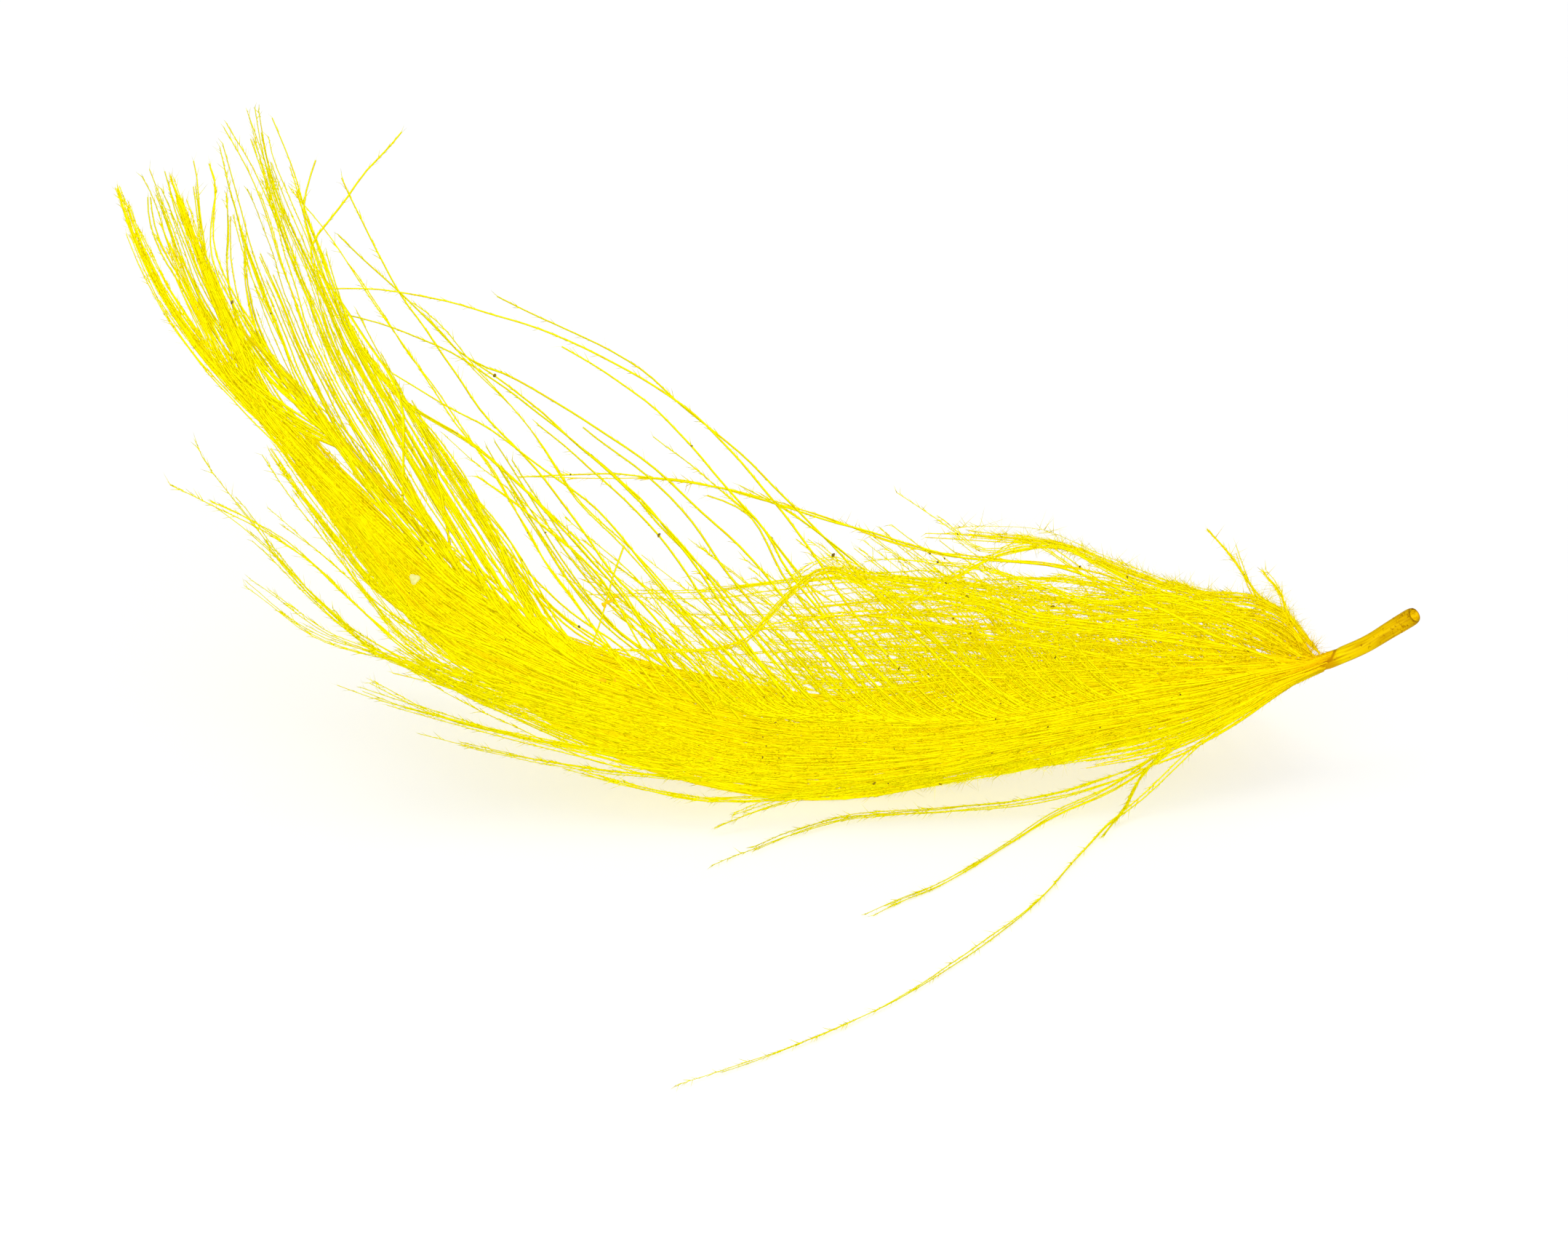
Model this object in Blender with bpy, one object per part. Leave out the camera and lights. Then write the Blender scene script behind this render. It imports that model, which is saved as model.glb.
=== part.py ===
"""A cul de canard feather, lying on a table on the belly of its curve.

The feather is one grown piece: a hollow quill that runs on as a thinning shaft, a dense band of barbs
that hugs the shaft, and loose locks of barbs. The far vane stands up from the shaft, the near vane
hangs below it, a tuft of down stands at the base, and a few strays and the back locks rest on the table.

Every curve is drawn in the feather's own plane: u runs along the table towards the quill, v runs up the
plane, and w stands out of its front. The plane rises from the table at RISE_DEG.
"""
import math

import bmesh
import bpy
from mathutils import Matrix, Vector

NAME = "cul_de_canard_feather"

# Driving dimensions, in millimetres and degrees
MM = 0.001
RISE_DEG = 55.0
QUILL_DIAMETER = 0.58
QUILL_BORE = 0.30
QUILL_BORE_DEPTH = 0.8
SHAFT_TIP_DIAMETER = 0.12
BAND_FLATNESS = 0.8
BAND_SET_BACK = 0.4
LOCK_FLATNESS = 0.55
LOCK_TIP_SHARE = 0.16
LOCK_ROOT_TURN = 0.18
SUNK_SHARE = 0.55
CENTRE_SHIFT = (2.29, 0.41, 0.0)

# The cut that flattens the belly on the table, and the angle past which an edge stays sharp
TABLE_CUT_DEPTH = 10.0
TABLE_CUT_WIDTH = 120.0
SHARP_DEG = 50.0

# Sides and steps of the strands
QUILL_BORE_SIDES = 10
SHAFT_ROUNDNESS = 2
BAND_ROUNDNESS = 2
LOCK_ROUNDNESS = 1
SHAFT_STEPS = 26
BAND_STEPS = 22
LOCK_STEP_LENGTH = 2.7

# The shaft from the cut end of the quill to its tip: u, v, w
SHAFT = [
    (19.5, 6.3, 0.0), (18.2, 5.7, 0.0), (17.2, 5.2, 0.0), (16.2, 4.8, 0.0), (14.4, 4.1, 0.0),
    (11.9, 3.2, 0.0), (7.7, 2.3, 0.0), (2.8, 1.8, 0.0), (-2.1, 2.1, 0.0), (-6.3, 3.5, 0.0),
    (-9.8, 5.6, 0.0), (-13.0, 8.2, 0.0), (-15.8, 11.2, 0.0), (-18.1, 14.0, 0.0), (-20.0, 15.9, 0.0),
]

# The dense band from the first barbs to the tip of the feather: u, v, half width
BAND = [
    (16.4, 4.9, 0.34), (14.6, 4.4, 0.75), (10.9, 3.8, 1.3), (7.8, 3.3, 1.75), (4.2, 2.6, 1.7),
    (0.0, 1.8, 1.6), (-4.2, 2.0, 1.65), (-7.7, 3.0, 1.5), (-10.4, 4.9, 1.3), (-13.1, 7.6, 1.15),
    (-15.8, 10.2, 0.95), (-18.8, 12.9, 0.75), (-20.5, 14.6, 0.55), (-21.9, 16.2, 0.4),
    (-23.1, 18.2, 0.27), (-24.1, 20.7, 0.1),
]

# Locks of the far vane, from the tip of the feather to its base: thickness, then u, v at root to tip
FAR_VANE = [
    (0.30, [(-17.9, 12.5), (-20.7, 15.7), (-22.3, 18.3), (-23.8, 20.7)]),
    (0.30, [(-17.0, 11.5), (-20.2, 15.3), (-21.8, 18.5), (-23.2, 21.1)]),
    (0.28, [(-16.4, 11.0), (-19.4, 14.6), (-21.3, 17.9), (-22.8, 20.4)]),
    (0.34, [(-15.8, 10.4), (-18.6, 13.9), (-20.8, 17.6), (-22.5, 21.3)]),
    (0.40, [(-14.7, 9.0), (-17.9, 12.9), (-20.5, 16.9), (-22.2, 20.9)]),
    (0.34, [(-14.4, 8.8), (-17.5, 12.9), (-20.1, 17.1), (-21.6, 21.5)]),
    (0.30, [(-13.7, 8.3), (-17.0, 12.5), (-19.6, 16.7), (-21.0, 21.3)]),
    (0.32, [(-13.0, 7.8), (-16.5, 12.5), (-19.2, 17.1), (-20.6, 21.7)]),
    (0.32, [(-12.3, 7.1), (-15.8, 12.2), (-18.4, 16.9), (-20.5, 22.6)]),
    (0.34, [(-11.2, 6.4), (-14.9, 11.6), (-17.7, 17.1), (-20.0, 23.0)]),
    (0.40, [(-10.2, 5.9), (-14.0, 11.6), (-17.0, 17.1), (-19.5, 23.2)]),
    (0.36, [(-9.2, 5.3), (-13.2, 10.4), (-16.1, 15.5), (-18.9, 22.8)]),
    (0.32, [(-8.4, 4.8), (-12.4, 10.1), (-15.5, 14.8), (-18.1, 20.2)]),
    (0.28, [(-7.4, 4.3), (-10.9, 9.9), (-14.0, 14.8), (-17.4, 21.4)]),
    (0.28, [(-6.2, 3.8), (-10.4, 9.2), (-13.7, 14.4), (-17.9, 20.0)]),
    (0.28, [(-5.4, 3.4), (-9.4, 8.6), (-13.3, 13.8), (-17.3, 18.4)]),
    (0.28, [(-4.6, 3.0), (-8.8, 8.2), (-12.6, 13.0), (-16.2, 17.6)]),
    (0.28, [(-3.5, 3.1), (-8.4, 9.4), (-12.5, 14.1), (-16.6, 21.1)]),
    (0.30, [(-2.5, 2.7), (-6.7, 7.6), (-9.8, 11.1), (-12.6, 13.9)]),
    (0.30, [(0.2, 2.6), (-7.2, 8.7), (-12.4, 14.9), (-16.6, 19.0)]),
    (0.28, [(-1.6, 2.6), (-6.0, 7.0), (-10.4, 12.2), (-14.9, 17.2)]),
    (0.30, [(-0.7, 2.5), (-4.6, 6.6), (-7.0, 9.4), (-9.7, 11.8)]),
    (0.28, [(0.7, 3.1), (-5.7, 8.8), (-9.0, 11.8), (-13.3, 15.5)]),
    (0.28, [(2.5, 2.7), (-2.5, 7.6), (-5.6, 10.4), (-9.1, 13.0)]),
    (0.28, [(1.6, 2.8), (-3.6, 8.0), (-8.0, 12.4), (-11.8, 14.6)]),
    (0.26, [(5.6, 3.4), (2.4, 6.4), (-0.6, 8.9), (-3.4, 10.6)]),
    (0.26, [(3.9, 3.4), (0.0, 7.3), (-2.8, 9.8), (-6.2, 12.3)]),
    (0.22, [(3.2, 3.1), (-0.7, 8.1), (-3.6, 11.9), (-9.1, 15.3)]),
    (0.22, [(4.6, 3.2), (0.4, 8.2), (-4.9, 13.2), (-11.3, 17.0)]),
    (0.22, [(4.9, 3.8), (0.1, 8.5), (-6.4, 14.3), (-12.1, 16.6), (-16.8, 17.3)]),
]
FAR_DEPTH = 2.6
FAR_DEPTH_TURN = 2.1
FAR_BACK = 0.8

# Locks of the tuft at the base: thickness, then u, v, w at root to tip
BASE_TUFT = [
    (0.40, [(16.0, 5.1, 0.0), (14.2, 6.6, -0.3), (10.9, 7.4, -0.6), (7.8, 8.4, -0.8), (2.9, 9.1, -1.0)]),
    (0.34, [(15.8, 5.0, 0.2), (13.3, 6.3, 0.9), (9.0, 8.0, 1.4), (5.2, 8.3, 1.6), (2.5, 6.7, 1.4), (-0.7, 5.6, 1.0)]),
    (0.42, [(15.4, 4.9, 0.1), (10.5, 5.7, 0.8), (5.2, 6.4, 1.1), (0.4, 8.0, 0.9), (-1.5, 7.2, 0.7)]),
    (0.26, [(0.4, 8.0, 0.9), (-1.3, 7.4, 0.8), (-3.2, 5.7, 0.9), (-8.5, 5.3, 1.2)]),
    (0.36, [(15.3, 5.0, -0.2), (10.5, 6.2, -1.2), (5.6, 7.2, -1.6), (0.0, 7.7, -1.6), (-4.2, 7.3, -1.4),
            (-8.4, 7.1, -1.0)]),
    (0.24, [(15.0, 5.0, -0.4), (9.0, 7.7, -2.2), (3.2, 8.5, -3.2), (-1.1, 9.9, -3.6), (-5.4, 10.9, -3.8),
            (-10.5, 11.0, -4.0)]),
    (0.26, [(14.0, 4.6, 0.1), (9.1, 6.9, 0.4), (5.0, 8.5, 0.5), (2.2, 10.4, 0.3)]),
    (0.42, [(14.0, 4.4, 0.3), (8.4, 5.6, 1.7), (4.2, 5.7, 2.0), (0.0, 5.0, 1.6)]),
    (0.42, [(13.0, 4.2, -0.3), (7.0, 6.4, -2.2), (3.5, 6.8, -2.8), (-1.2, 6.0, -2.6)]),
    (0.40, [(15.6, 5.0, -0.2), (13.6, 6.4, -1.5), (11.0, 7.2, -2.0), (7.7, 7.3, -2.0)]),
    (0.34, [(12.0, 3.9, 0.2), (8.0, 5.6, 0.9), (4.6, 7.0, 1.2), (1.4, 8.6, 1.2)]),
    (0.34, [(9.5, 3.6, -0.2), (6.0, 5.6, -1.0), (2.6, 7.2, -1.5), (-0.6, 8.9, -1.8)]),
    (0.20, [(15.6, 5.0, 0.1), (14.2, 6.8, 0.4), (12.5, 9.2, 0.7)]),
    (0.20, [(15.7, 5.1, 0.0), (14.3, 6.7, -0.3), (13.4, 8.6, -0.7)]),
    (0.22, [(16.0, 5.2, 0.0), (15.1, 6.4, 0.3), (14.3, 7.7, 0.6)]),
]

# Locks of the near vane, whose tips hang loose below the band: thickness, then u, v, w
NEAR_VANE = [
    (0.34, [(5.6, 1.7, 0.6), (1.5, 0.8, 1.2), (-4.9, 0.6, 1.4), (-9.1, 1.9, 1.3)]),
    (0.30, [(0.5, 1.4, 0.7), (-4.9, 1.0, 1.8), (-8.5, 1.4, 2.2), (-13.9, 2.4, 2.4)]),
    (0.30, [(-2.8, 1.6, 0.7), (-8.4, 2.2, 1.6), (-12.9, 2.9, 2.0), (-16.6, 4.1, 2.2)]),
    (0.28, [(-4.9, 2.2, 0.6), (-9.1, 3.1, 1.3), (-13.5, 4.5, 1.8), (-16.8, 5.7, 2.2), (-19.7, 7.4, 2.6)]),
    (0.28, [(-7.0, 3.1, 0.6), (-11.8, 4.7, 1.1), (-14.8, 6.3, 1.4), (-19.1, 9.9, 1.6)]),
    (0.26, [(-8.4, 3.9, 0.5), (-14.0, 6.0, 1.2), (-17.9, 8.7, 1.8), (-21.3, 12.0, 2.4)]),
    (0.26, [(-9.1, 4.5, 0.5), (-14.8, 6.4, 1.5), (-18.9, 8.9, 2.4), (-22.2, 10.8, 3.4)]),
    (0.24, [(4.2, 1.3, 0.6), (0.0, 0.8, 1.2), (-2.9, -0.3, 1.4), (-4.1, -0.7, 1.6)]),
    (0.44, [(13.5, 3.8, 0.4), (9.0, 3.0, 1.9), (3.0, 2.2, 2.4), (-3.0, 2.4, 2.2)]),
    (0.44, [(8.5, 2.6, 0.5), (3.0, 1.6, 1.8), (-3.0, 1.4, 2.1), (-8.0, 3.0, 1.8)]),
    (0.40, [(-6.0, 3.4, 0.4), (-10.0, 5.2, 1.3), (-13.5, 8.2, 1.4), (-16.5, 11.0, 1.2)]),
]

# Strays that bend forward and lie on the table in front: thickness, then u, v, w
STRAYS = [
    (0.22, [(13.7, 3.8, 0.3), (11.1, 2.2, 0.9), (7.7, -0.3, 0.9), (4.7, -2.0, 3.0), (1.0, -3.8, 5.5)]),
    (0.24, [(14.8, 3.8, 0.3), (12.1, 1.6, 0.8), (9.5, -0.4, 1.0), (7.7, -2.2, 3.2), (5.0, -4.7, 6.8),
            (1.5, -6.8, 9.8), (-5.2, -9.4, 13.5)]),
    (0.20, [(11.1, 2.4, 0.4), (10.2, 0.9, 0.8), (8.9, -1.1, 1.7)]),
    (0.22, [(11.1, 2.3, 0.5), (8.7, 0.7, 0.9), (5.1, -0.1, 0.9), (2.2, -0.3, 1.0), (-0.9, -0.9, 1.5),
            (-4.1, -2.1, 3.1)]),
]

# Back locks, which fold under the far vane and rest on the table behind the band: thickness, then u, v, w
BACK_LOCKS = [
    (0.30, [(-6.5, 3.6, -0.4), (-10.0, 3.4, -2.2), (-14.6, 4.6, -4.8)]),
    (0.32, [(-4.0, 2.8, -0.4), (-8.0, 2.6, -2.6), (-12.6, 3.8, -5.2)]),
    (0.32, [(-1.5, 2.4, -0.4), (-5.5, 2.6, -3.1), (-10.6, 4.6, -6.3)]),
    (0.32, [(1.5, 2.4, -0.4), (-2.5, 2.6, -3.0), (-8.2, 4.2, -6.0)]),
    (0.34, [(4.5, 2.6, -0.4), (0.5, 2.8, -3.8), (-5.2, 5.2, -7.2)]),
    (0.34, [(7.5, 2.9, -0.4), (3.5, 2.9, -3.6), (-2.4, 4.8, -6.8)]),
    (0.34, [(10.0, 3.4, -0.4), (6.4, 3.4, -4.4), (0.4, 5.8, -8.0)]),
    (0.34, [(12.5, 3.8, -0.4), (9.0, 3.6, -4.0), (3.6, 5.2, -7.4)]),
    (0.32, [(14.0, 4.2, -0.3), (11.2, 4.1, -4.6), (6.6, 6.2, -8.8)]),
    (0.30, [(15.2, 4.5, -0.3), (13.2, 4.3, -4.0), (9.6, 5.8, -8.2)]),
]


def smooth_point(points, share):
    """A point at a share of the way along a smooth curve through the given points."""
    spans = len(points) - 1
    place = min(max(share, 0.0), 1.0) * spans
    span = min(int(place), spans - 1)
    t = place - span
    before = Vector(points[max(span - 1, 0)])
    start = Vector(points[span])
    end = Vector(points[span + 1])
    after = Vector(points[min(span + 2, spans)])
    return 0.5 * (2 * start + (end - before) * t + (2 * before - 5 * start + 4 * end - after) * t ** 2
                  + (3 * start - before - 3 * end + after) * t ** 3)


def height_on_table(point):
    """Height above the table of a point given by u, v, w."""
    rise = math.radians(RISE_DEG)
    return point[1] * math.sin(rise) + point[2] * math.cos(rise)


def laid_on_table(point, thickness):
    """The point, brought forward out of the plane where its strand would sink into the table."""
    missing = thickness * SUNK_SHARE - height_on_table(point)
    if missing <= 0.0:
        return point
    return Vector((point[0], point[1], point[2] + missing / math.cos(math.radians(RISE_DEG))))


def lock_radius(thickness, share):
    """A lock swells from its root and draws out to a fine tip."""
    swell = math.sin(math.pi * (LOCK_ROOT_TURN + (1.0 - LOCK_ROOT_TURN) * share))
    return thickness * (LOCK_TIP_SHARE + (1.0 - LOCK_TIP_SHARE) * swell)


def lock_strand(thickness, points):
    """Centres and radii of one lock, from its root to its tip."""
    length = sum((Vector(b) - Vector(a)).length for a, b in zip(points, points[1:]))
    steps = max(5, round(length / LOCK_STEP_LENGTH))
    strand = []
    for step in range(steps + 1):
        share = step / steps
        radius = lock_radius(thickness, share)
        strand.append((laid_on_table(smooth_point(points, share), radius), radius))
    return strand


def far_strands():
    """The far vane's locks, fanned a little before and behind the plane."""
    strands = []
    for index, (thickness, points) in enumerate(FAR_VANE):
        depth = FAR_DEPTH * math.sin(FAR_DEPTH_TURN * index) - FAR_BACK
        last = len(points) - 1
        placed = [(u, v, depth * (place / last) ** 1.5) for place, (u, v) in enumerate(points)]
        strands.append(lock_strand(thickness, placed))
    return strands


def tube_mesh(name, strands, flatness, roundness, plane):
    """One closed mesh of tubes along the strands, pressed flat across the feather's plane."""
    curve = bpy.data.curves.new(name + "_line", "CURVE")
    curve.dimensions = "3D"
    curve.bevel_depth = MM
    curve.bevel_resolution = roundness
    curve.use_fill_caps = True
    for strand in strands:
        spline = curve.splines.new("POLY")
        spline.points.add(len(strand) - 1)
        for spot, (centre, radius) in zip(spline.points, strand):
            spot.co = (centre[0] * MM, centre[1] * MM, centre[2] * MM / flatness, 1.0)
            spot.radius = radius
    line = bpy.data.objects.new(name + "_line", curve)
    bpy.context.scene.collection.objects.link(line)
    line.matrix_world = plane @ Matrix.Diagonal((1.0, 1.0, flatness, 1.0))
    bpy.context.view_layer.update()
    mesh = bpy.data.meshes.new_from_object(line.evaluated_get(bpy.context.evaluated_depsgraph_get()))
    mesh.transform(line.matrix_world)
    mesh.name = name
    bpy.data.objects.remove(line)
    welded = bmesh.new()
    welded.from_mesh(mesh)
    bmesh.ops.remove_doubles(welded, verts=welded.verts, dist=1e-7)
    bmesh.ops.triangulate(welded, faces=welded.faces)
    bmesh.ops.recalc_face_normals(welded, faces=welded.faces)
    welded.to_mesh(mesh)
    welded.free()
    return mesh


def keratin():
    """Dyed keratin: lemon yellow, with a soft dull sheen."""
    material = bpy.data.materials.new("dyed_keratin")
    material.use_nodes = True
    shader = material.node_tree.nodes["Principled BSDF"]
    shader.inputs["Base Color"].default_value = (0.88, 0.76, 0.02, 1.0)
    shader.inputs["Roughness"].default_value = 0.55
    shader.inputs["Metallic"].default_value = 0.0
    return material


def boolean(target, tool, operation, self_overlap=False):
    """Adds and applies one exact Boolean."""
    step = target.modifiers.new(operation.lower(), "BOOLEAN")
    step.operation = operation
    step.solver = "EXACT"
    step.object = tool
    step.use_self = self_overlap
    bpy.context.view_layer.update()
    result = bpy.data.meshes.new_from_object(target.evaluated_get(bpy.context.evaluated_depsgraph_get()))
    target.modifiers.remove(step)
    target.data = result


def box_cutter(name, cutters, centre, size):
    """A box that is only used to cut."""
    mesh = bpy.data.meshes.new(name)
    box = bmesh.new()
    bmesh.ops.create_cube(box, size=1.0)
    box.to_mesh(mesh)
    box.free()
    mesh.transform(Matrix.Translation(Vector(centre) * MM) @ Matrix.Diagonal((*(Vector(size) * MM), 1.0)))
    return hidden_cutter(name, cutters, mesh)


def bore_cutter(cutters, plane):
    """A short round bore in the cut end of the quill."""
    end = Vector(SHAFT[0])
    inward = (Vector(SHAFT[1]) - end).normalized()
    mesh = bpy.data.meshes.new("quill_bore")
    rod = bmesh.new()
    bmesh.ops.create_cone(rod, cap_ends=True, segments=QUILL_BORE_SIDES, radius1=QUILL_BORE * MM / 2,
                          radius2=QUILL_BORE * MM / 2, depth=2 * QUILL_BORE_DEPTH * MM)
    rod.to_mesh(mesh)
    rod.free()
    mesh.transform(plane @ Matrix.Translation(end * MM) @ inward.to_track_quat("Z", "Y").to_matrix().to_4x4())
    return hidden_cutter("quill_bore", cutters, mesh)


def hidden_cutter(name, cutters, mesh):
    """Puts a cutter in its collection, out of the render."""
    cutter = bpy.data.objects.new(name, mesh)
    cutters.objects.link(cutter)
    cutter.hide_render = True
    cutter.display_type = "WIRE"
    return cutter


def finish_surface(mesh):
    """Plain triangles, shaded smooth along the round strands."""
    solid = bmesh.new()
    solid.from_mesh(mesh)
    bmesh.ops.triangulate(solid, faces=solid.faces)
    solid.to_mesh(mesh)
    solid.free()
    mesh.shade_smooth()
    mesh.set_sharp_from_angle(angle=math.radians(SHARP_DEG))


def build():
    for old in list(bpy.data.objects):
        bpy.data.objects.remove(old)
    parts = bpy.data.collections.new(NAME)
    cutters = bpy.data.collections.new("cutters")
    bpy.context.scene.collection.children.link(parts)
    bpy.context.scene.collection.children.link(cutters)

    plane = (Matrix.Translation(Vector(CENTRE_SHIFT) * MM)
             @ Matrix.Rotation(math.radians(RISE_DEG), 4, "X"))

    shaft = []
    for step in range(SHAFT_STEPS + 1):
        share = step / SHAFT_STEPS
        thin = QUILL_DIAMETER + (SHAFT_TIP_DIAMETER - QUILL_DIAMETER) * max(0.0, share - 0.2) / 0.8
        shaft.append((smooth_point(SHAFT, share), thin / 2))
    shaft_mesh = tube_mesh("shaft", [shaft], 1.0, SHAFT_ROUNDNESS, plane)

    band = []
    for step in range(BAND_STEPS + 1):
        share = step / BAND_STEPS
        u, v, half = smooth_point(BAND, share)
        band.append((Vector((u, v, -BAND_SET_BACK * math.sin(math.pi * share))), half))
    band_mesh = tube_mesh("band", [band], BAND_FLATNESS, BAND_ROUNDNESS, plane)

    strands = far_strands()
    for family in (BASE_TUFT, NEAR_VANE, STRAYS, BACK_LOCKS):
        strands += [lock_strand(thickness, points) for thickness, points in family]
    locks_mesh = tube_mesh("locks", strands, LOCK_FLATNESS, LOCK_ROUNDNESS, plane)

    feather = bpy.data.objects.new("feather", shaft_mesh)
    parts.objects.link(feather)
    for name, mesh in (("band", band_mesh), ("locks", locks_mesh)):
        boolean(feather, hidden_cutter(name, cutters, mesh), "UNION", self_overlap=(name == "locks"))
    table = box_cutter("under_table", cutters, (0.0, 0.0, -TABLE_CUT_DEPTH / 2),
                       (TABLE_CUT_WIDTH, TABLE_CUT_WIDTH, TABLE_CUT_DEPTH))
    boolean(feather, table, "DIFFERENCE")
    bore = bore_cutter(cutters, plane)
    boolean(feather, bore, "DIFFERENCE")
    finish_surface(feather.data)
    feather.data.materials.clear()
    feather.data.materials.append(keratin())


build()
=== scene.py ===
"""Looks of a dyed cul de canard feather: every barb is modelled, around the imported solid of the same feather.

Guide points are in millimetres in the feather's own plane, as in the solid's source: u runs along the table
towards the quill, v runs up the plane, and w stands out of its front.
"""
import functools
import math

import bmesh
import bpy
import numpy as np
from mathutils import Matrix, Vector


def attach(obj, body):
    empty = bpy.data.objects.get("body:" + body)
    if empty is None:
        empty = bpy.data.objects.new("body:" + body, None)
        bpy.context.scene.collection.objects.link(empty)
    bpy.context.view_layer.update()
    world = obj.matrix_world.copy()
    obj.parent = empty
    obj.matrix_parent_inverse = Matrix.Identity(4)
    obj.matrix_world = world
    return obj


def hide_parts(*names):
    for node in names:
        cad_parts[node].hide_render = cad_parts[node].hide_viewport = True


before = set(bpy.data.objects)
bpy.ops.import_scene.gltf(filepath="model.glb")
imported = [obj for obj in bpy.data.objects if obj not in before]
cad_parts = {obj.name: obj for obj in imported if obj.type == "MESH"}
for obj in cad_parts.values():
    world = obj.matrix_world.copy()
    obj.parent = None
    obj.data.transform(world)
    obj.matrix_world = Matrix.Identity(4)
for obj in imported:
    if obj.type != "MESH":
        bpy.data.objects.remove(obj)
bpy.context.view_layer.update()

# Stem
# The bare quill and the shaft that it runs on as: a tube of horny keratin, which the dye turned amber.
# It grew in one piece, was pulled from the skin, and is open at its pulled end, with dry pith caps inside.
MM = 0.001
PLANE_RISE = math.radians(55.0)
PLANE_PLACE = (2.29, 0.41)
STEM = [
    (19.5, 6.38, 0.0), (18.9, 6.02, 0.0), (18.5, 5.78, 0.0), (17.7, 5.3, 0.0), (16.7, 4.86, 0.0),
    (15.6, 4.45, 0.0), (14.4, 4.08, 0.0), (11.9, 3.2, 0.0), (7.7, 2.3, 0.0), (2.8, 1.8, 0.0),
    (-2.1, 2.1, 0.0), (-6.3, 3.5, 0.0), (-9.8, 5.6, 0.0), (-13.0, 8.2, 0.0), (-15.8, 11.2, 0.0),
    (-18.1, 14.0, 0.0), (-20.0, 15.9, 0.0),
]
STEM_RADIUS = 0.285
STEM_TIP_RADIUS = 0.05
BARE_QUILL = 3.35
STEM_SIDES = 24
STEM_STEP = 0.2
CUT_SLANT = 0.3
CUT_FADE = 0.9
SCAR_SLOPE = 0.28
SCAR_DEPTH = 0.09
BORE_RADIUS = 0.2
BORE_DEPTH = 1.4
PITH_CAPS = (0.42, 0.7, 1.05)
KERATIN_IOR = 1.54
# Where the outer wall, the bore and the cut rim lie across the stem's flat layout, and the scar along it
WALL_STRIP = (0.02, 0.6)
BORE_STRIP = (0.66, 0.88)
RIM_STRIP = (0.92, 0.98)
WALL_ENDS_BEFORE = 0.63
BORE_ENDS_BEFORE = 0.9
SCAR_LEVEL = 0.5


def on_table(points):
    """Places on the table, in metres, of points of the feather's plane."""
    u, v, w = np.asarray(points, float).T
    return MM * np.column_stack([u + PLANE_PLACE[0],
                                 v * math.cos(PLANE_RISE) - w * math.sin(PLANE_RISE) + PLANE_PLACE[1],
                                 v * math.sin(PLANE_RISE) + w * math.cos(PLANE_RISE)])


def run_along(path):
    """The length run through at each point of a path."""
    return np.concatenate([[0.0], np.cumsum(np.linalg.norm(np.diff(path, axis=0), axis=1))])


def sampled(path, run, places):
    """A path's points, or its directions, at some lengths along it."""
    return np.stack([np.interp(places, run, axis) for axis in path.T], axis=-1)


def smooth_path(points, spacing):
    """Evenly spaced points on a smooth curve through the given ones."""
    knots = np.asarray(points, float)
    knots = np.vstack([2 * knots[0] - knots[1], knots, 2 * knots[-1] - knots[-2]])
    t = np.linspace(0.0, 1.0, 12, endpoint=False)[:, None]
    spans = [0.5 * (2 * b + (c - a) * t + (2 * a - 5 * b + 4 * c - d) * t ** 2
                    + (3 * b - a - 3 * c + d) * t ** 3)
             for a, b, c, d in zip(knots, knots[1:], knots[2:], knots[3:])]
    dense = np.vstack(spans + [knots[-2:-1]])
    run = run_along(dense)
    return sampled(dense, run, np.linspace(0.0, run[-1], max(4, round(run[-1] / spacing) + 1)))


def across(path):
    """For each point of a path: its direction, and the two directions across it."""
    ahead = np.gradient(path, axis=0)
    ahead /= np.linalg.norm(ahead, axis=1)[:, None]
    side = np.cross(ahead, (0.0, 0.0, 1.0))
    side /= np.linalg.norm(side, axis=1)[:, None]
    return ahead, side, np.cross(side, ahead)


def linear(hex_colour):
    """An sRGB hex colour as the linear values that a shader takes."""
    values = [int(hex_colour[i:i + 2], 16) / 255 for i in (0, 2, 4)]
    return (*[c / 12.92 if c <= 0.04045 else ((c + 0.055) / 1.055) ** 2.4 for c in values], 1.0)


def feed(node, inputs):
    """Sets a node's inputs, each to a value or to the socket or the node that feeds it."""
    for name, value in inputs.items():
        if isinstance(value, bpy.types.Node):
            value = next(socket for socket in value.outputs if socket.enabled)
        if isinstance(value, bpy.types.NodeSocket):
            node.id_data.links.new(value, node.inputs[name])
        else:
            node.inputs[name].default_value = value


def add_node(tree, kind, inputs=(), **settings):
    """Adds a node with its settings and its inputs."""
    node = tree.nodes.new(kind)
    for name, value in settings.items():
        setattr(node, name, value)
    feed(node, dict(inputs))
    return node


def colour_ramp(tree, factor, stops):
    """A ramp through (place, hex colour) stops."""
    node = add_node(tree, "ShaderNodeValToRGB", {"Fac": factor})
    ramp = node.color_ramp
    while len(ramp.elements) < len(stops):
        ramp.elements.new(0.5)
    for element, (place, hex_colour) in zip(ramp.elements, stops):
        element.position = place
        element.color = linear(hex_colour)
    return node


def patchy(tree, spot, stretch, **noise):
    """Noise over a flat layout, packed by its own number along each axis."""
    packed = add_node(tree, "ShaderNodeMapping", {"Vector": spot, "Scale": (*stretch, 1.0)})
    return add_node(tree, "ShaderNodeTexNoise", {"Vector": packed, "Scale": 1.0, **noise})


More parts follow.
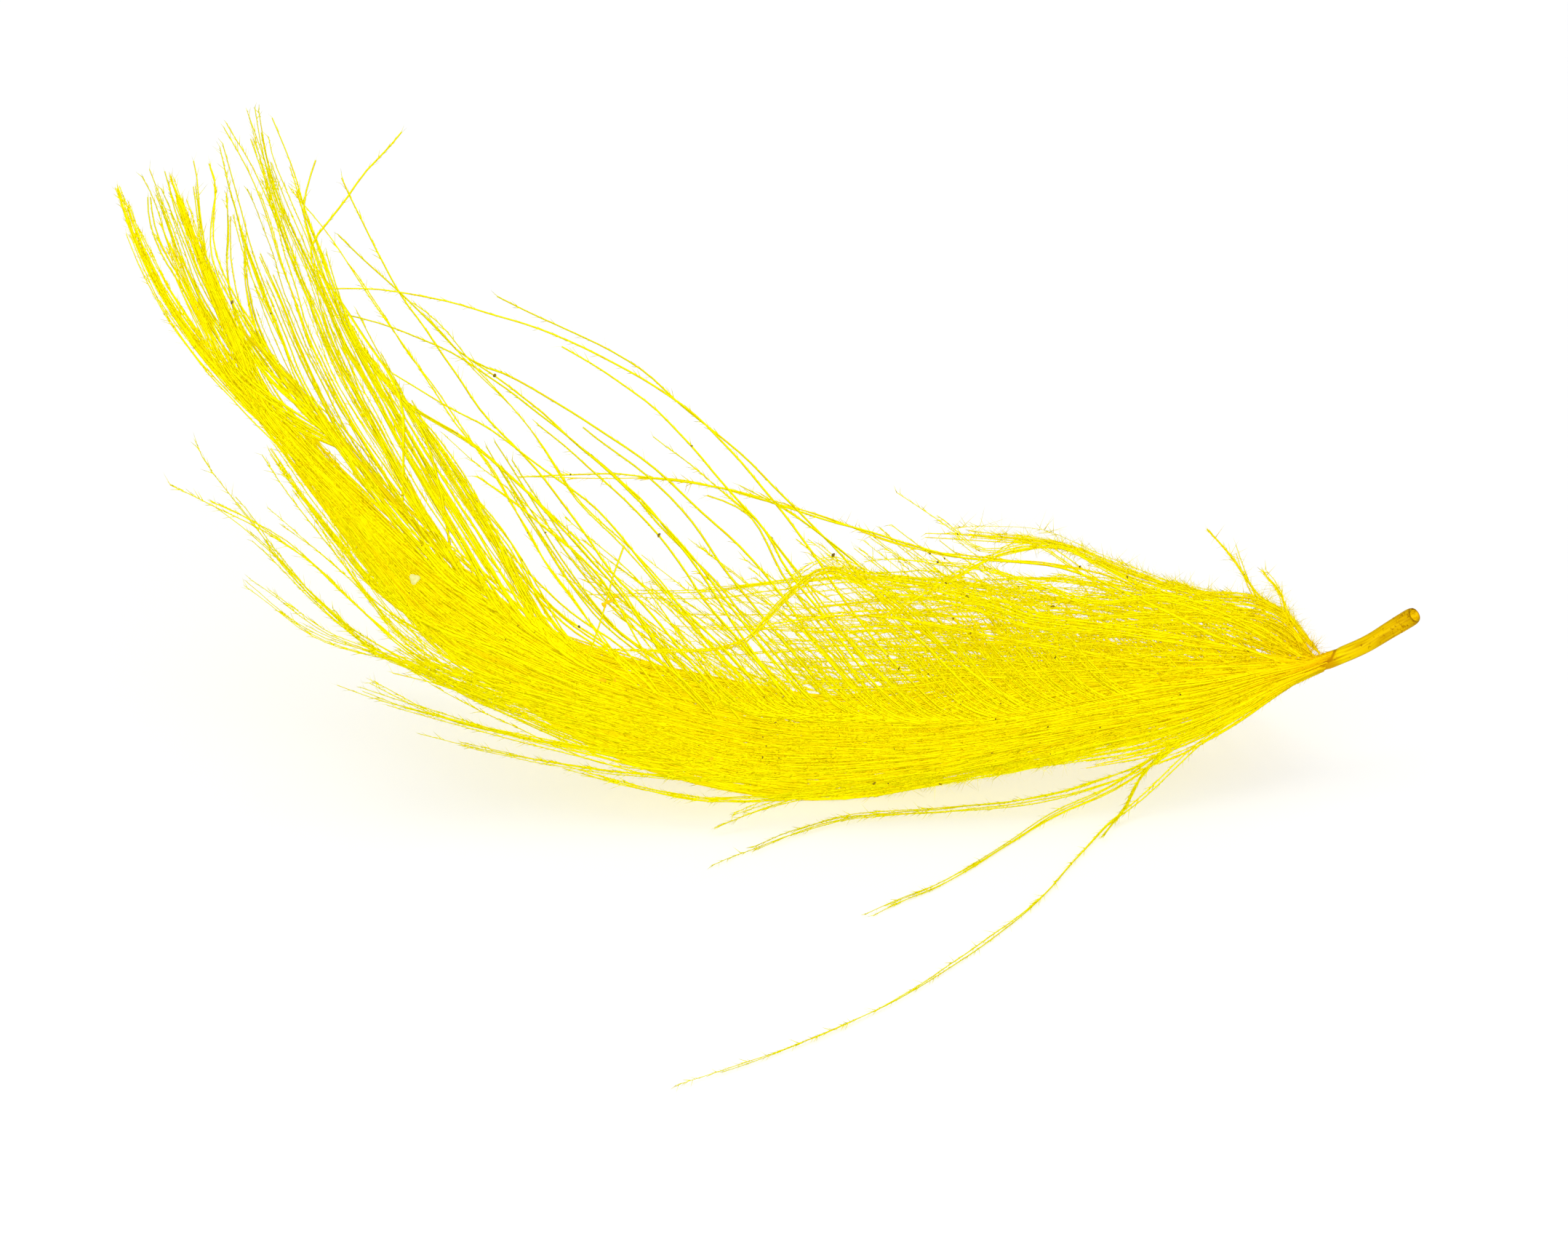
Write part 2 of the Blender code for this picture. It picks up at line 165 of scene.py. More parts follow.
def stained(tree, base, cause, first, full, share, hex_colour):
    """A colour under a stain, which begins and comes to its full share at two levels of its cause."""
    amount = add_node(tree, "ShaderNodeMapRange", {"Value": cause, "From Min": first, "From Max": full,
                                                   "To Min": 0.0, "To Max": share})
    return add_node(tree, "ShaderNodeMix", {0: amount, 6: base, 7: linear(hex_colour)}, data_type="RGBA")


def new_material(name, roughness, shine, **more):
    """A material, its node tree and its main shader."""
    material = bpy.data.materials.new(name)
    material.use_nodes = True
    shader = material.node_tree.nodes["Principled BSDF"]
    feed(shader, {"Roughness": roughness, "Specular IOR Level": shine, **more})
    return material, material.node_tree, shader


def stem_mesh():
    """The stem as one closed tube with its bore and rim, and its pith caps, laid out flat for its pattern."""
    path = smooth_path(STEM, STEM_STEP)
    run = run_along(path)
    ahead, side, front = across(path)
    thick = np.interp(run, [0.0, 0.2, 0.7, 1.6, BARE_QUILL, 4.6, 9.0, run[-1]],
                      [0.97, 1.06, 1.05, 0.97, 1.0, 0.97, 0.82, STEM_TIP_RADIUS / STEM_RADIUS]) * STEM_RADIUS
    turns = np.arange(STEM_SIDES) * 2 * math.pi / STEM_SIDES
    shell = bmesh.new()
    layer = shell.loops.layers.uv.new("OFBake")

    def ring(at, radius, dents=0.0, aslant=True):
        """One ring of vertices at a length along the stem, cut aslant near its end so that it faces front."""
        reach = radius * (1.0 - dents) * np.ones(STEM_SIDES)
        slant = CUT_SLANT * max(0.0, 1.0 - at / CUT_FADE) * aslant
        spots = (sampled(path, run, at) + np.outer(reach * np.cos(turns), sampled(side, run, at))
                 + np.outer(reach * np.sin(turns), sampled(front, run, at))
                 + np.outer(slant * (1.0 + np.sin(turns)) / 2, sampled(ahead, run, at)))
        return [shell.verts.new(spot) for spot in on_table(spots)]

    def round_sides(strip):
        """Each side's number, the next one's, and where its left and right edges lie in the flat layout."""
        edges = np.linspace(*strip, STEM_SIDES + 1)
        return zip(range(STEM_SIDES), [*range(1, STEM_SIDES), 0], edges, edges[1:])

    def lay_flat(face, *corners):
        """Gives the corners of a face their places in the flat layout."""
        for loop, spot in zip(face.loops, corners):
            loop[layer].uv = spot

    def wall(first, last, low, high, strip):
        """A wall of quads between two rings, which lies between two levels of the flat layout."""
        for k, n, left, right in round_sides(strip):
            lay_flat(shell.faces.new((first[k], first[n], last[n], last[k])),
                     (left, low), (right, low), (right, high), (left, high))

    def lid(rim, at, low, high, strip):
        """A fan that closes a ring at a point of the stem's middle line."""
        tip = shell.verts.new(on_table([sampled(path, run, at)])[0])
        for k, n, left, right in round_sides(strip):
            lay_flat(shell.faces.new((rim[k], rim[n], tip)),
                     (left, low), (right, low), ((left + right) / 2, high))

    # The outer wall, dented by the oblique scar where the barbs begin and a little wrinkled as dry horn is
    places = np.concatenate([[0.0, 0.06, 0.13], np.arange(0.25, 5.0, 0.14), np.arange(5.2, run[-1], 0.4),
                             [run[-1]]])
    flat = np.interp(places, [0.0, BARE_QUILL, run[-1]], [0.02, SCAR_LEVEL, 0.98])
    rings = []
    for at in places:
        scar = SCAR_DEPTH * np.exp(-((at - BARE_QUILL + SCAR_SLOPE * np.cos(turns)) / 0.13) ** 2)
        wrinkles = 0.014 * np.sin(3 * turns + 1.7 * at) + 0.010 * np.sin(7 * turns - 2.3 * at)
        rounded = 0.1 * max(0.0, 1.0 - at / 0.1)
        rings.append(ring(at, np.interp(at, run, thick), scar + wrinkles + rounded))
    for first, last, low, high in zip(rings, rings[1:], flat, flat[1:]):
        wall(first, last, low, high, WALL_STRIP)
    lid(rings[-1], run[-1] + 0.05, 0.98, 0.995, WALL_STRIP)

    # The bore, which ends on the last pith cap
    depths = np.array([0.0, 0.07, 0.2, 0.4, 0.6, 0.8, 1.1, BORE_DEPTH])
    bore = [ring(at, BORE_RADIUS * (1.0 - 0.2 * at / BORE_DEPTH)) for at in depths]
    levels = 0.1 + 0.09 * np.arange(len(bore))
    wall(bore[0], rings[0], 0.07, 0.02, RIM_STRIP)
    for first, last, low, high in zip(bore, bore[1:], levels, levels[1:]):
        wall(last, first, high, low, BORE_STRIP)
    lid(bore[-1][::-1], BORE_DEPTH + 0.1, 0.76, 0.8, BORE_STRIP)
    for number, depth in enumerate(PITH_CAPS):
        low = 0.82 + 0.05 * number
        edge = ring(depth, BORE_RADIUS * 0.93, aslant=False)
        lid(edge, depth + 0.09, low, low + 0.02, BORE_STRIP)
        lid(edge[::-1], depth + 0.03, low + 0.022, low + 0.042, BORE_STRIP)

    bmesh.ops.recalc_face_normals(shell, faces=shell.faces)
    mesh = bpy.data.meshes.new("stem")
    shell.to_mesh(mesh)
    shell.free()
    mesh.shade_smooth()
    mesh.set_sharp_from_angle(angle=math.radians(60.0))
    return mesh


def stem_horn():
    """Dyed horn: amber with a low gloss, brown at the torn rim and the scar, yellower along the shaft."""
    material, tree, shader = new_material("stem_dyed_horn", 0.45, 0.01, IOR=KERATIN_IOR)
    add = functools.partial(add_node, tree)
    spot = add("ShaderNodeUVMap", uv_map="OFBake")
    parts = add("ShaderNodeSeparateXYZ", {"Vector": spot})
    across_flat, along_flat = parts.outputs["X"], parts.outputs["Y"]
    outside = colour_ramp(tree, along_flat, [
        (0.0, "6E4400"), (0.023, "8A6200"), (0.034, "B89200"), (0.1, "C49C00"), (0.2, "CCA800"),
        (0.36, "CEAE00"), (0.45, "D6BE00"), (0.51, "C08E00"), (0.56, "CC9E00"), (0.66, "D2B000"),
        (0.8, "DCC600"), (1.0, "D8CC00")])
    # Inside the bore the horn is clean and bright, and the rim's flat cut is brown in patches
    bored = add("ShaderNodeMath", {0: across_flat, 1: WALL_ENDS_BEFORE}, operation="GREATER_THAN")
    inside = colour_ramp(tree, along_flat, [
        (0.1, "8A5A00"), (0.16, "D8B000"), (0.5, "E4C400"), (0.8, "D0A000"), (0.83, "B07C10"),
        (1.0, "A87410")])
    walls = add("ShaderNodeMix", {0: bored, 6: outside, 7: inside}, data_type="RGBA")
    rim = add("ShaderNodeMath", {0: across_flat, 1: BORE_ENDS_BEFORE}, operation="GREATER_THAN")
    torn = patchy(tree, spot, (50.0, 3.0), Detail=1.0)
    edge = colour_ramp(tree, torn, [(0.42, "6A4200"), (0.55, "BE9C00")])
    body = add("ShaderNodeMix", {0: rim, 6: walls, 7: edge}, data_type="RGBA")
    # Lengthwise fibres, about 0.05 mm apart round the quill
    fibres = patchy(tree, spot, (48.0, 7.0), Detail=3.0)
    fibred = stained(tree, body, fibres, 0.45, 0.7, 0.75, "A07000")
    # Shreds of dry pith, 0.1 to 0.3 mm long, seen as brown marks through the wall and thickest near the cut
    pith = patchy(tree, spot, (16.0, 42.0), Detail=2.0, Roughness=0.7)
    near_cut = add("ShaderNodeMapRange", {"Value": along_flat, "From Min": 0.03, "From Max": 0.45,
                                          "To Min": 0.12, "To Max": 0.02})
    seen = add("ShaderNodeMath", {0: pith, 1: near_cut}, operation="ADD")
    pithy = stained(tree, fibred, seen, 0.66, 0.73, 0.7, "855400")
    # The oblique line of the scar, which climbs towards the quill over the front of the outer wall
    turn = add("ShaderNodeMath", {0: across_flat, 1: 2 * math.pi / (WALL_STRIP[1] - WALL_STRIP[0]), 2: 1.354},
               operation="MULTIPLY_ADD")
    wave = add("ShaderNodeMath", {0: turn}, operation="SINE")
    level = add("ShaderNodeMath", {0: wave, 1: 0.04, 2: along_flat}, operation="MULTIPLY_ADD")
    gap = add("ShaderNodeMath", {0: level, 1: SCAR_LEVEL}, operation="SUBTRACT")
    apart = add("ShaderNodeMath", {0: gap}, operation="ABSOLUTE")
    line = add("ShaderNodeMapRange", {"Value": apart, "From Min": 0.003, "From Max": 0.014,
                                      "To Min": 0.75, "To Max": 0.0})
    outer_line = add("ShaderNodeMath", {0: line, 1: bored}, operation="SUBTRACT", use_clamp=True)
    scarred = add("ShaderNodeMix", {0: outer_line, 6: pithy, 7: linear("965E00")}, data_type="RGBA")
    relief = add("ShaderNodeBump", {"Height": fibres, "Strength": 0.3, "Distance": 0.00002})
    feed(shader, {"Base Color": scarred, "Normal": relief})
    return material


def keep(piece, material=None):
    """Puts a finished piece in the scene, riding on the part in the place of the plain solid."""
    if piece.name not in bpy.context.scene.collection.objects:
        bpy.context.scene.collection.objects.link(piece)
    if material:
        piece.data.materials.append(material)
    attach(piece, "root")
    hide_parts("feather")


keep(bpy.data.objects.new("stem", stem_mesh()), stem_horn())

# Band of barbs
# The dense band that hugs the shaft: some nine hundred barbs laid side by side, each a fine flexible filament
# of keratin with two rows of barbules. They grow from the shaft's sides and are dyed lemon yellow throughout.
BAND = [
    (16.4, 4.9, 0.34), (14.6, 4.4, 0.75), (10.9, 3.8, 1.3), (7.8, 3.3, 1.75), (4.2, 2.6, 1.7),
    (0.0, 1.85, 1.7), (-4.2, 2.4, 1.75), (-7.7, 3.45, 1.55), (-10.6, 4.85, 1.2), (-13.5, 6.7, 0.88),
    (-16.0, 9.45, 0.66), (-18.3, 12.4, 0.55), (-19.9, 14.4, 0.42),
]
BAND_BARBS = 860
BAND_REACH = (9.0, 24.0)
BAND_DEPTH = 0.55
BAND_SET_BACK = 0.4
BARB_RADIUS = 0.036
BARB_STEP = 0.55
TABLE_CLEARANCE = 0.06
# The dye turns golden where the barbs leave the quill
GOLD_PLACE = (16.6, 4.9)
GOLD_FADE = 1.7
GOLD_SHARE = 0.45


def wander(path, size, rng):
    """A slow random bend of a barb, which grows from nothing at its root."""
    run = run_along(path)
    grown = np.minimum(1.0, run / 3.0)[:, None]
    drift = np.zeros_like(path)
    for wavelength in (12.0, 5.0, 2.2):
        phase = rng.uniform(0.0, 2 * math.pi, 3)
        push = rng.normal(0.0, size * wavelength / 12.0, 3) * (1.0, 1.0, 1.8)
        drift += push * (np.sin(run[:, None] * 2 * math.pi / wavelength + phase) - np.sin(phase))
    return path + drift * grown


def above_table(path):
    """The path, brought forward out of the feather's plane where it would sink into the table."""
    height = path[:, 1] * math.sin(PLANE_RISE) + path[:, 2] * math.cos(PLANE_RISE)
    missing = np.maximum(0.0, TABLE_CLEARANCE - height)
    path[:, 2] += missing / math.cos(PLANE_RISE)
    return path


def barb(points, rng, radius=BARB_RADIUS, bend=0.05, tone=(0.5, 0.1), fluff=0.24, lean=0.26, tip=0.5,
         step=BARB_STEP):
    """One barb along its guide points: its girth, its tone, and how long and how spread its barbules are."""
    path = above_table(wander(smooth_path(points, step), bend, rng))
    along = run_along(path)
    along /= along[-1]
    gold = np.exp(-np.hypot(path[:, 0] - GOLD_PLACE[0], path[:, 1] - GOLD_PLACE[1]) / GOLD_FADE)
    # The tone falls from root to tip, so lone tips come out darker and more olive: painted shade for the bounce
    # light that massed barbs get and they miss. The random part and the gold near the quill are the dye's own.
    shade = tone[0] + (tone[1] - tone[0]) * along ** 0.7 + rng.normal(0.0, 0.05)
    return {"path": path, "along": along, "girth": radius * (1.0 - (1.0 - tip) * along ** 2.0),
            "tone": np.clip(shade + GOLD_SHARE * gold, 0.0, 1.0),
            "fluff": np.full(len(path), fluff * rng.uniform(0.8, 1.2)), "lean": np.full(len(path), lean)}


barb_tree = bpy.data.node_groups.new("barbs_with_barbules", "GeometryNodeTree")
add = functools.partial(add_node, barb_tree)


def input_socket(name, kind, value=None):
    """Adds a named input to the barbs' tree and gives its identifier."""
    entry = barb_tree.interface.new_socket(name=name, in_out="INPUT", socket_type=kind)
    if value is not None:
        entry.default_value = value
    return entry.identifier


def attribute(name):
    """A barb's own number, read by name."""
    return add("GeometryNodeInputNamedAttribute", {"Name": name}, data_type="FLOAT").outputs["Attribute"]


def turned(direction, turn, operation):
    """A direction scaled by the sine or cosine of a turn."""
    share = add("ShaderNodeMath", {0: turn}, operation=operation)
    return add("ShaderNodeVectorMath", {0: direction, "Scale": share}, operation="SCALE")


input_socket("Barb lines", "NodeSocketGeometry")
BARB_INPUTS = {
    "Spacing": input_socket("Barbule spacing", "NodeSocketFloat", 0.0001),
    "Thickness": input_socket("Barbule thickness", "NodeSocketFloat", 0.000009),
    "Seed": input_socket("Seed", "NodeSocketInt", 1),
    "Finish": input_socket("Finish", "NodeSocketMaterial"),
}
barb_tree.interface.new_socket(name="Barbs", in_out="OUTPUT", socket_type="NodeSocketGeometry")
given = add("NodeGroupInput").outputs
lines = add("GeometryNodeMeshToCurve", {"Mesh": given["Barb lines"]})
# Barbs are three-sided filaments that taper to their tips
outline = add("GeometryNodeCurvePrimitiveCircle", {"Resolution": 3, "Radius": 1.0})
filaments = add("GeometryNodeCurveToMesh", {"Curve": lines, "Profile Curve": outline,
                                            "Scale": attribute("girth"), "Fill Caps": True})
# Barbules are tiny closed spikes that leave the barb on all sides, most of them lying close along it
spots = add("GeometryNodeCurveToPoints", {"Curve": lines, "Length": given["Barbule spacing"]},
            mode="LENGTH").outputs
round_barb = add("FunctionNodeRandomValue", {3: 2 * math.pi, "Seed": given["Seed"]}, data_type="FLOAT")
chance_seed = add("ShaderNodeMath", {0: given["Seed"], 1: 17.0}, operation="ADD")
chance = add("FunctionNodeRandomValue", {"Seed": chance_seed}, data_type="FLOAT")
opened = add("ShaderNodeMath", {0: chance, 1: chance}, operation="MULTIPLY")
spread = add("ShaderNodeMath", {0: opened, 1: 3.0, 2: 0.5}, operation="MULTIPLY_ADD")
angle = add("ShaderNodeMath", {0: spread, 1: attribute("lean")}, operation="MULTIPLY")
binormal = add("ShaderNodeVectorMath", {0: spots["Tangent"], 1: spots["Normal"]}, operation="CROSS_PRODUCT")
outward = add("ShaderNodeVectorMath", {0: turned(spots["Normal"], round_barb, "COSINE"),
                                       1: turned(binormal, round_barb, "SINE")}, operation="ADD")
heading = add("ShaderNodeVectorMath", {0: turned(spots["Tangent"], angle, "COSINE"),
                                       1: turned(outward, angle, "SINE")}, operation="ADD")
pointed = add("FunctionNodeAlignRotationToVector", {"Vector": heading}, axis="Z")
length_seed = add("ShaderNodeMath", {0: given["Seed"], 1: 29.0}, operation="ADD")
stretch = add("FunctionNodeRandomValue", {2: 0.55, 3: 1.3, "Seed": length_seed}, data_type="FLOAT")
reach = add("ShaderNodeMath", {0: opened, 1: 0.8, 2: stretch}, operation="MULTIPLY_ADD")
length = add("ShaderNodeMath", {0: reach, 1: attribute("fluff")}, operation="MULTIPLY")
thinned = add("ShaderNodeMath", {0: opened, 1: -0.6, 2: 1.1}, operation="MULTIPLY_ADD")
# They cling in knots about 0.4 mm long, where the dye looks deeper, and between which the barb is nearly bare
place = add("GeometryNodeInputPosition")
clumps = add("ShaderNodeTexNoise", {"Vector": place, "Scale": 2500.0, "Detail": 0.0})
knots = add("ShaderNodeMapRange", {"Value": clumps, "From Min": 0.35, "From Max": 0.68, "To Min": 0.2,
                                   "To Max": 3.0})
deeper = add("ShaderNodeMapRange", {"Value": clumps, "From Min": 0.5, "From Max": 0.65, "To Min": 0.0,
                                    "To Max": 0.12})
dyed_tone = add("ShaderNodeMath", {0: attribute("tone"), 1: deeper}, operation="ADD", use_clamp=True)
knotty = add("GeometryNodeStoreNamedAttribute", {"Geometry": spots["Points"], "Name": "tone",
                                                 "Value": dyed_tone}, data_type="FLOAT", domain="POINT")
knotted = add("ShaderNodeMath", {0: thinned, 1: knots}, operation="MULTIPLY")
thickness = add("ShaderNodeMath", {0: knotted, 1: given["Barbule thickness"]}, operation="MULTIPLY")
size = add("ShaderNodeCombineXYZ", {"X": thickness, "Y": thickness, "Z": length})
spike = add("GeometryNodeMeshCone", {"Vertices": 3, "Side Segments": 1, "Fill Segments": 1, "Radius Top": 0.0,
                                     "Radius Bottom": 1.0, "Depth": 1.0}, fill_type="NGON")
barbules = add("GeometryNodeInstanceOnPoints", {"Points": knotty, "Instance": spike.outputs["Mesh"],
                                                "Rotation": pointed, "Scale": size})
real = add("GeometryNodeRealizeInstances", {"Geometry": barbules})
whole = add("GeometryNodeJoinGeometry", {"Geometry": filaments})
feed(whole, {"Geometry": real})
finished = add("GeometryNodeSetMaterial", {"Geometry": whole, "Material": given["Finish"]})
add("NodeGroupOutput", {"Barbs": finished})


def barb_keratin():
    """Dyed down keratin: saturated lemon, golden where it is thick at the quill, and dull."""
    material, tree, shader = new_material("barb_dyed_keratin", 0.6, 0.01, IOR=KERATIN_IOR)
    spot = add_node(tree, "ShaderNodeUVMap", uv_map="OFBake")
    parts = add_node(tree, "ShaderNodeSeparateXYZ", {"Vector": spot})
    # Low tones are darker and more olive, high ones more golden. Besides the dye's gold at the quill, they
    # carry painted shade on lone barbs and painted bounce light in big locks.
    tone = colour_ramp(tree, parts.outputs["X"], [
        (0.0, "D0CA00"), (0.2, "DCD600"), (0.42, "EEE600"), (0.56, "EADC00"), (0.7, "EAD400"),
        (0.85, "E0C200"), (1.0, "D2A600")])
    # The dye took unevenly, in patches of 0.2 to 0.5 mm
    uneven = patchy(tree, spot, (60.0, 48.0), Detail=2.0)
    feed(shader, {"Base Color": stained(tree, tone, uneven, 0.52, 0.66, 0.6, "DCBC00")})
    return material


BARB_KERATIN = barb_keratin()
UV_STEP = 0.006
LEAST_HEIGHT = 0.000005


def grow_barbs(name, barbs, seed, spacing=0.12, thickness=0.01):
    """Grows the barbs from their lines and keeps them as one plain mesh."""
    mesh = bpy.data.meshes.new(name + "_lines")
    starts = np.concatenate([[0], np.cumsum([len(one["path"]) for one in barbs])])
    edges = np.vstack([np.column_stack([np.arange(a, b - 1), np.arange(a + 1, b)])
                       for a, b in zip(starts, starts[1:])])
    mesh.from_pydata(on_table(np.vstack([one["path"] for one in barbs])), edges.tolist(), [])
    for key, unit in (("girth", MM), ("tone", 1.0), ("along", 1.0), ("fluff", MM), ("lean", 1.0)):
        values = np.concatenate([one[key] for one in barbs]) * unit
        mesh.attributes.new(key, "FLOAT", "POINT").data.foreach_set("value", values.astype(np.float32))
    piece = bpy.data.objects.new(name, mesh)
    bpy.context.scene.collection.objects.link(piece)
    grower = piece.modifiers.new("grow", "NODES")
    grower.node_group = barb_tree
    grower[BARB_INPUTS["Spacing"]] = spacing * MM
    grower[BARB_INPUTS["Thickness"]] = thickness * MM
    grower[BARB_INPUTS["Seed"]] = seed
    grower[BARB_INPUTS["Finish"]] = BARB_KERATIN
    depsgraph = bpy.context.evaluated_depsgraph_get()
    grown = bpy.data.meshes.new_from_object(piece.evaluated_get(depsgraph), preserve_all_data_layers=True,
                                            depsgraph=depsgraph)
    piece.modifiers.remove(grower)
    piece.data = grown
    grown.name = name

    # No barbule pierces the table
    places = np.empty(3 * len(grown.vertices))
    grown.vertices.foreach_get("co", places)
    places[2::3] = np.maximum(places[2::3], LEAST_HEIGHT)
    grown.vertices.foreach_set("co", places)

    # The finish reads two numbers: the barb's tone, which holds the dye's gold and the painted shade and bounce
    # light of lone and massed barbs, and how far along it a spot lies
    corners = np.empty(len(grown.loops), int)
    grown.loops.foreach_get("vertex_index", corners)
    firsts = np.empty(len(grown.polygons), int)
    grown.polygons.foreach_get("loop_start", firsts)
    order = np.arange(len(corners)) - np.repeat(firsts, np.diff(np.append(firsts, len(corners))))
    spots = np.zeros((len(corners), 2))
    for axis, key in enumerate(("tone", "along")):
        values = np.empty(len(grown.vertices), np.float32)
        grown.attributes[key].data.foreach_get("value", values)
        spots[:, axis] = 0.01 + 0.97 * values[corners]
    spots[:, 0] += UV_STEP * ((order == 1) | (order == 2))
    spots[:, 1] += UV_STEP * (order >= 2)
    flat = grown.uv_layers.new(name="OFBake")
    flat.data.foreach_set("uv", np.clip(spots, 0.001, 0.999).astype(np.float32).ravel())
    for key in ("girth", "tone", "along", "fluff", "lean"):
        if key in grown.attributes:
            grown.attributes.remove(grown.attributes[key])
    grown.shade_smooth()
    keep(piece)


stem_path = smooth_path(STEM, STEM_STEP)
band_path = smooth_path(BAND, 0.25)
band_run = run_along(band_path[:, :2])
band_ahead = np.gradient(band_path[:, :2], axis=0)
band_ahead /= np.linalg.norm(band_ahead, axis=1)[:, None]


def in_band(run, lane, layer):
    """A point of the band: how far along, which lane across (-1 to 1), and which layer from back to front."""
    u, v, half = sampled(band_path, band_run, run).T
    du, dv = sampled(band_ahead, band_run, run).T
    depth = BAND_DEPTH * half * layer * np.sqrt(np.maximum(0.0, 1.0 - lane ** 2))
    back = BAND_SET_BACK * np.sin(math.pi * run / band_run[-1])
    return np.column_stack([u + dv * half * lane, v - du * half * lane, depth - back])


rng = np.random.default_rng(41)
band_barbs = []
for number in range(BAND_BARBS):
    start = band_run[-1] * (0.02 + rng.uniform(0.0, 0.78) ** 1.05)
    end = min(start + rng.uniform(*BAND_REACH), band_run[-1] * rng.uniform(0.8, 0.97))
    run = np.linspace(start, end, max(4, round((end - start) / 1.6)))
    # Each leaves the shaft near the middle and swings out to its lane, on the band's face or behind it
    end_lane = rng.uniform(-1.0, 1.0)
    root_lane = 0.3 * end_lane + rng.normal(0.0, 0.12)
    swing = np.clip((run - start) / rng.uniform(2.0, 5.0), 0.0, 1.0)
    lane = root_lane + (end_lane - root_lane) * swing * swing * (3 - 2 * swing)
    lane += rng.normal(0.0, 0.25) * np.clip((run - start) / 12.0, 0.0, 1.0)
    layer = 1.0 - abs(rng.normal(0.0, 0.14)) if rng.uniform() < 0.72 else -1.0 + abs(rng.normal(0.0, 0.5))
    layer *= np.linspace(0.6, 1.0, len(run))
    tone = 0.56 + 0.05 * math.sin(9.0 * end_lane + 0.5) + rng.normal(0.0, 0.04)
    band_barbs.append(barb(in_band(run, np.clip(lane, -1.0, 1.0), layer), rng, bend=0.035,
                           radius=rng.uniform(0.027, 0.04), tone=(tone, tone - 0.06), fluff=0.3, lean=0.25,
                           step=0.95))
grow_barbs("band_barbs", band_barbs, seed=3, spacing=0.6, thickness=0.011)

